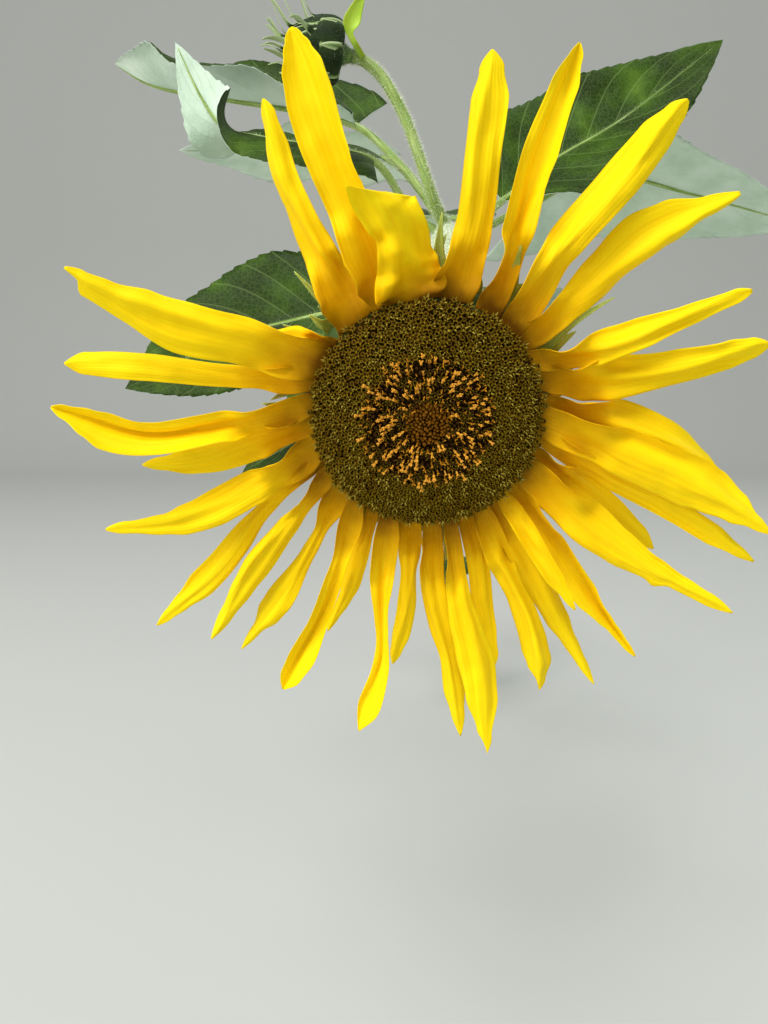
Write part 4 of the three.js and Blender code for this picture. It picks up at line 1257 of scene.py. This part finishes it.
def leaf_finish(name, roughness, ground, vein_colour, vein_strength, depth, sockets):
    """A leaf side: a mottled ground, its midrib and side veins, and a net of fine ones 3 mm wide."""
    material, tree, shader = new_material(name, roughness, sockets)
    _, parts, place = places_on(tree)
    _, ground = mottle(tree, place, 32.0, 6.0, ground)
    out = add_node(tree, "ShaderNodeMath", {0: parts["X"]}, operation="ABSOLUTE")
    swept = add_node(tree, "ShaderNodeMath", {0: out, 1: -LEAF_VEIN_SWEEP}, operation="MULTIPLY")
    paired = {0: parts["Y"], 1: float(LEAF_VEINS), 2: swept}
    paired = add_node(tree, "ShaderNodeMath", paired, operation="MULTIPLY_ADD")
    beside = add_node(tree, "ShaderNodeMath", {0: paired, 1: 0.5}, operation="PINGPONG")
    net = {"Vector": place, "Scale": 330.0}
    net = add_node(tree, "ShaderNodeTexVoronoi", net, feature="DISTANCE_TO_EDGE")
    veins = 0.0
    # Side veins, the midrib and the net: the way off one, half its width and how strongly it shows.
    for off, half, shows in ((beside, 0.05, 0.6), (out, 0.045, 1.0), (net, 0.12, 0.22)):
        vein = {"Value": off, "From Max": half, "To Min": shows, "To Max": 0.0}
        vein = add_node(tree, "ShaderNodeMapRange", vein)
        veins = add_node(tree, "ShaderNodeMath", {0: veins, 1: vein}, operation="MAXIMUM")
    strength = add_node(tree, "ShaderNodeMath", {0: veins, 1: vein_strength}, operation="MULTIPLY")
    mixed = {0: strength, 6: ground, 7: colour(vein_colour)}
    mixed = add_node(tree, "ShaderNodeMix", mixed, out=2, data_type="RGBA")
    dress(tree, shader, mixed, veins, 0.6, depth)
    return material


# Upper leaf skin: dark green cuticle with a low gloss that the sky catches, veins sunk and paler.
upper_finish = leaf_finish(
    "glossy upper leaf skin",
    0.5,
    [(0.3, "#1A2C04"), (0.48, "#263D07"), (0.6, "#355109"), (0.75, "#4F6C18")],
    "#93AE62",
    0.42,
    -0.0005,
    {"Specular IOR Level": 0.13},
)
# Underside: pale grey-green felt of short hairs, with raised paler veins.
under_finish = leaf_finish(
    "downy leaf underside",
    0.85,
    [(0.3, "#B4CCB6"), (0.5, "#CADECB"), (0.72, "#DAE9D9")],
    "#D6E4CF",
    0.5,
    0.0008,
    {"Specular IOR Level": 0.1, "Sheen Weight": 0.1},
)
# Young leaf skin: thin, bright yellow-green and almost veinless at this size.
young_finish = leaf_finish(
    "bright young leaf skin",
    0.5,
    [(0.3, "#86AE1F"), (0.5, "#9CC22A"), (0.72, "#B4D23C")],
    "#CFE07A",
    0.4,
    0.0002,
    {"Specular IOR Level": 0.3, "Subsurface Weight": 0.2, "Subsurface Scale": 0.004},
)

bud_leaf_rib = smooth_line([bud_stalk_line(BUD_LEAF_FOOT)[0], *BUD_LEAF_RIB])


def bud_leaf_surface(s, v):
    """The bud leaf's surface: narrow below, a lance above, hollow along its middle, a little turned."""
    place, along = bud_leaf_rib(s)
    facing = np.array((0.7 * smooth_step(s, 0.5, 1), -1.0, 0.0))
    up = square_to(along, facing)
    half = BUD_LEAF_WIDTH / 2 * (0.35 + 0.95 * smooth_step(s, 0.4, 0.7)) * (1 - s**5) + 0.25
    rise = 0.35 * half * v * v + 0.5 * math.sin(14 * s) * v * v
    return place + np.outer(v * half, np.cross(up, along)) + np.outer(rise, up), up


bud_leaf_skin = new_skin()
add_blade(bud_leaf_skin, BUD_LEAF_GRID, bud_leaf_surface, BUD_LEAF_THICKNESS, (0, 0))
make_piece("bud_leaf", bud_leaf_skin, [young_finish])


def leaf_outline(s, fullness):
    """Width of a leaf along its rib: broad lobes at the root, widest a third of the way, a long tip."""
    if s < LEAF_WIDEST:
        return LEAF_ROOT_SHARE + (1 - LEAF_ROOT_SHARE) * math.sin(math.pi / 2 * s / LEAF_WIDEST)
    return 1 - ((s - LEAF_WIDEST) / (1 - LEAF_WIDEST)) ** fullness


def leaf(
    name, seed, foot, stalk, rib, face, width, lift,
    tip_face=None, tip_lift=None, lobe=0.16, fullness=2.2, rolled=(2, 2),
):
    """One leaf: its blade, and its stalk with the midrib that runs under the blade to the tip."""
    points = [stem_line(foot)[0], *stalk, *rib]
    line = smooth_line(points)
    root = (1 + len(stalk)) / (len(points) - 1)
    foot_face = unit(np.array(face, float))
    end_face = unit(np.array(tip_face or face, float))
    end_lift = tip_lift or lift
    length = np.linalg.norm(np.array(rib[-1], float) - np.array(rib[0], float))
    draw = random.Random(seed)
    pace = [draw.uniform(1.6, 2.6) for _ in range(2)]
    phase = [draw.uniform(0, 1) for _ in range(2)]
    height = [draw.uniform(0.025, 0.05) for _ in range(2)]

    def facing(s, along):
        """The way the upper side looks at a share of the blade."""
        turned = smooth_step(s, 0.4, 0.8)
        return square_to(along, foot_face * (1 - turned) + end_face * turned)

    def surface(s, v):
        place, along = line(root + (1 - root) * s)
        up = facing(s, along)
        outline = leaf_outline(s, fullness)
        out = np.abs(v)
        slope = np.where(v >= 0, *lift) * (1 - s) + np.where(v >= 0, *end_lift) * s
        kept = 1 / np.sqrt(1 + slope**2)
        tooth = (s * length / LEAF_TOOTH) % 1
        half = width / 2 * outline + LEAF_TOOTH_DEPTH * (tooth - 0.5) * out**6 * min(outline * 2, 1)
        rise = slope * kept * half * out**1.3 - np.where(v >= 0, *rolled) * outline * out**8
        for edge in range(2):
            waved = height[edge] * width * wave(pace[edge] * s + phase[edge])
            rise = rise + np.where((v >= 0) == (edge == 0), waved * out**2.5 * outline, 0)
        between = np.abs(np.sin(math.pi * (LEAF_VEINS * s - LEAF_VEIN_SWEEP * out)))
        rise += LEAF_QUILTING * between**0.7 * np.sin(math.pi * np.minimum(out * 1.1, 1)) * outline
        bumps = np.array([noise.noise(Vector((x * 3, s * 8, seed))) for x in v])
        rise += LEAF_UNEVENNESS * bumps * out * outline
        back = lobe * length * v * v * max(0, 1 - s / LEAF_WIDEST) ** 2
        across = np.outer(v * half * kept, np.cross(up, along))
        return place + across + np.outer(rise, up) - np.outer(back, along), up

    def stalk_radius(t):
        narrowing = 1 - 0.3 * min(t * STALK_END / root, 1)
        return STALK_RADIUS * narrowing * (1 - max(0, (t * STALK_END - root) / (1 - root))) ** 0.8 + 0.25

    def stalk_line(t):
        """The middle of the stalk, and of the midrib, which lies under the blade."""
        place, along = line(t * STALK_END)
        up = facing((t * STALK_END - root) / (1 - root), along)
        sink = smooth_step(t * STALK_END, root - 0.05, root + 0.05) * stalk_radius(t) * 0.55
        return place - up * sink, along

    skin = new_skin()
    add_blade(skin, LEAF_GRID, surface, LEAF_THICKNESS, (0, 1), length * MM)
    add_limb(skin, stalk_line, stalk_radius, STALK_STEPS, foot_face, STALK_SIDES, 2)
    return make_piece(name, skin, [upper_finish, under_finish, stem_finish])


leaves = [leaf(name, seed, **shape) for seed, (name, shape) in enumerate(UPPER_LEAVES.items())]

for i, (foot, heading, stalk_length, length) in enumerate(LOWER_LEAVES):
    out = polar(heading, 1, 0)
    places = [stem_line(foot)[0]]
    for distance, rise in (
        (stalk_length / 2, LOWER_STALK_RISE),
        (stalk_length / 2, LOWER_STALK_RISE / 2),
        (length / 2, 0),
        (length / 2, -LOWER_LEAF_DROOP),
    ):
        places.append(places[-1] + distance * unit(out + np.array((0, 0, rise))))
    lift = (LOWER_LEAF_LIFT, LOWER_LEAF_LIFT)
    width = length * LOWER_LEAF_SHAPE
    seed = LOWER_LEAF_SEED + i
    leaf(f"leaf_low_{i + 1}", seed, foot, places[1:2], places[2:], (0, 0, 1), width, lift)

# Hairs: stiff, white and a few millimetres long on the stem, the neck and the bud's stalk, and
# shorter on the bud and the bracts. They are drawn thicker than real ones so that they show.
HAIR_FLOOR = 0.006
HAIR_SIDES = 3
HAIR_SIZES = (0.45, 1.25)
HAIR_UNITS = {
    "Skin": "mesh", "Skin finish": None, "Hairs per square metre": 1.0, "Length": MM, "Root radius": MM,
    "Lean": DEGREE, "Seed": 1, "Finish": None,
}
hair_tree, at = new_tree("hairs on a skin", HAIR_UNITS)
roots = add_node(hair_tree, "GeometryNodeDistributePointsOnFaces", {
    "Mesh": at["Skin"],
    "Selection": add_node(hair_tree, "GeometryNodeMaterialSelection", {"Material": at["Skin finish"]}),
    "Density": at["Hairs per square metre"],
    "Seed": at["Seed"],
})
# No hair grows on the flat cut at the foot, or so low that it would reach the ground.
place = add_node(hair_tree, "GeometryNodeInputPosition")
height = add_node(hair_tree, "ShaderNodeSeparateXYZ", {0: place}, out="Z")
high_enough = add_node(hair_tree, "ShaderNodeMath", {0: height, 1: HAIR_FLOOR}, operation="GREATER_THAN")
hair = add_node(hair_tree, "GeometryNodeMeshCone", {
    "Vertices": HAIR_SIDES,
    "Radius Top": 0.0,
    "Radius Bottom": at["Root radius"],
    "Depth": at["Length"],
})
least_size, most_size = HAIR_SIZES
size = add_node(hair_tree, "FunctionNodeRandomValue", {2: least_size, 3: most_size, "Seed": 1}, out=1)
hairs = add_node(hair_tree, "GeometryNodeInstanceOnPoints", {
    "Points": roots,
    "Selection": high_enough,
    "Instance": hair,
    "Rotation": roots.node.outputs["Rotation"],
    "Scale": size,
})
back_lean = add_node(hair_tree, "ShaderNodeMath", {0: at["Lean"], 1: -1.0}, operation="MULTIPLY")
least = add_node(hair_tree, "ShaderNodeCombineXYZ", {"X": back_lean, "Y": back_lean})
most = add_node(hair_tree, "ShaderNodeCombineXYZ", {"X": at["Lean"], "Y": at["Lean"]})
lean = {0: least, 1: most, "Seed": 2}
lean = add_node(hair_tree, "FunctionNodeRandomValue", lean, data_type="FLOAT_VECTOR")
lean = add_node(hair_tree, "FunctionNodeEulerToRotation", {"Euler": lean})
leaning = add_node(hair_tree, "GeometryNodeRotateInstances", {"Instances": hairs, "Rotation": lean})
end_tree(hair_tree, leaning, at["Finish"])

# Plant hair: clear and silvery, so it catches the light along its edge.
hair_finish, _, _ = new_material("silvery plant hair", 0.5, {"Base Color": colour("#DDE5CC")})

# What each coat of hairs grows on and on which of its finishes, hairs per square metre, length and root
# radius in millimetres, lean in degrees and slot.
HAIR_COATS = {
    "stem_hairs": (stem, stem_finish, 60000, 3.0, 0.14, 26, "stem"),
    "neck_wool": (neck, wool_finish, 700000, 2.4, 0.13, 45, "stem"),
    "bud_stalk_hairs": (bud_stalk, stem_finish, 900000, 2.4, 0.13, 30, "stem"),
    "bud_down": (bud, scale_finish, 500000, 1.2, 0.1, 40, "bud"),
    "bud_cup_down": (bud, cup_finish, 900000, 1.6, 0.12, 40, "bud"),
    "bract_down": (receptacle, bract_finish, 260000, 1.4, 0.1, 35, "bract"),
}
for piece in leaves:
    HAIR_COATS[f"{piece.name}_stalk_hairs"] = (piece, stem_finish, 500000, 2.0, 0.12, 30, "leaf")
for seed, (name, (grown_on, *sizes, slot)) in enumerate(HAIR_COATS.items()):
    values = (None, *sizes, seed, hair_finish)
    grow(name, hair_tree, grown_on.data, HAIR_UNITS, values)
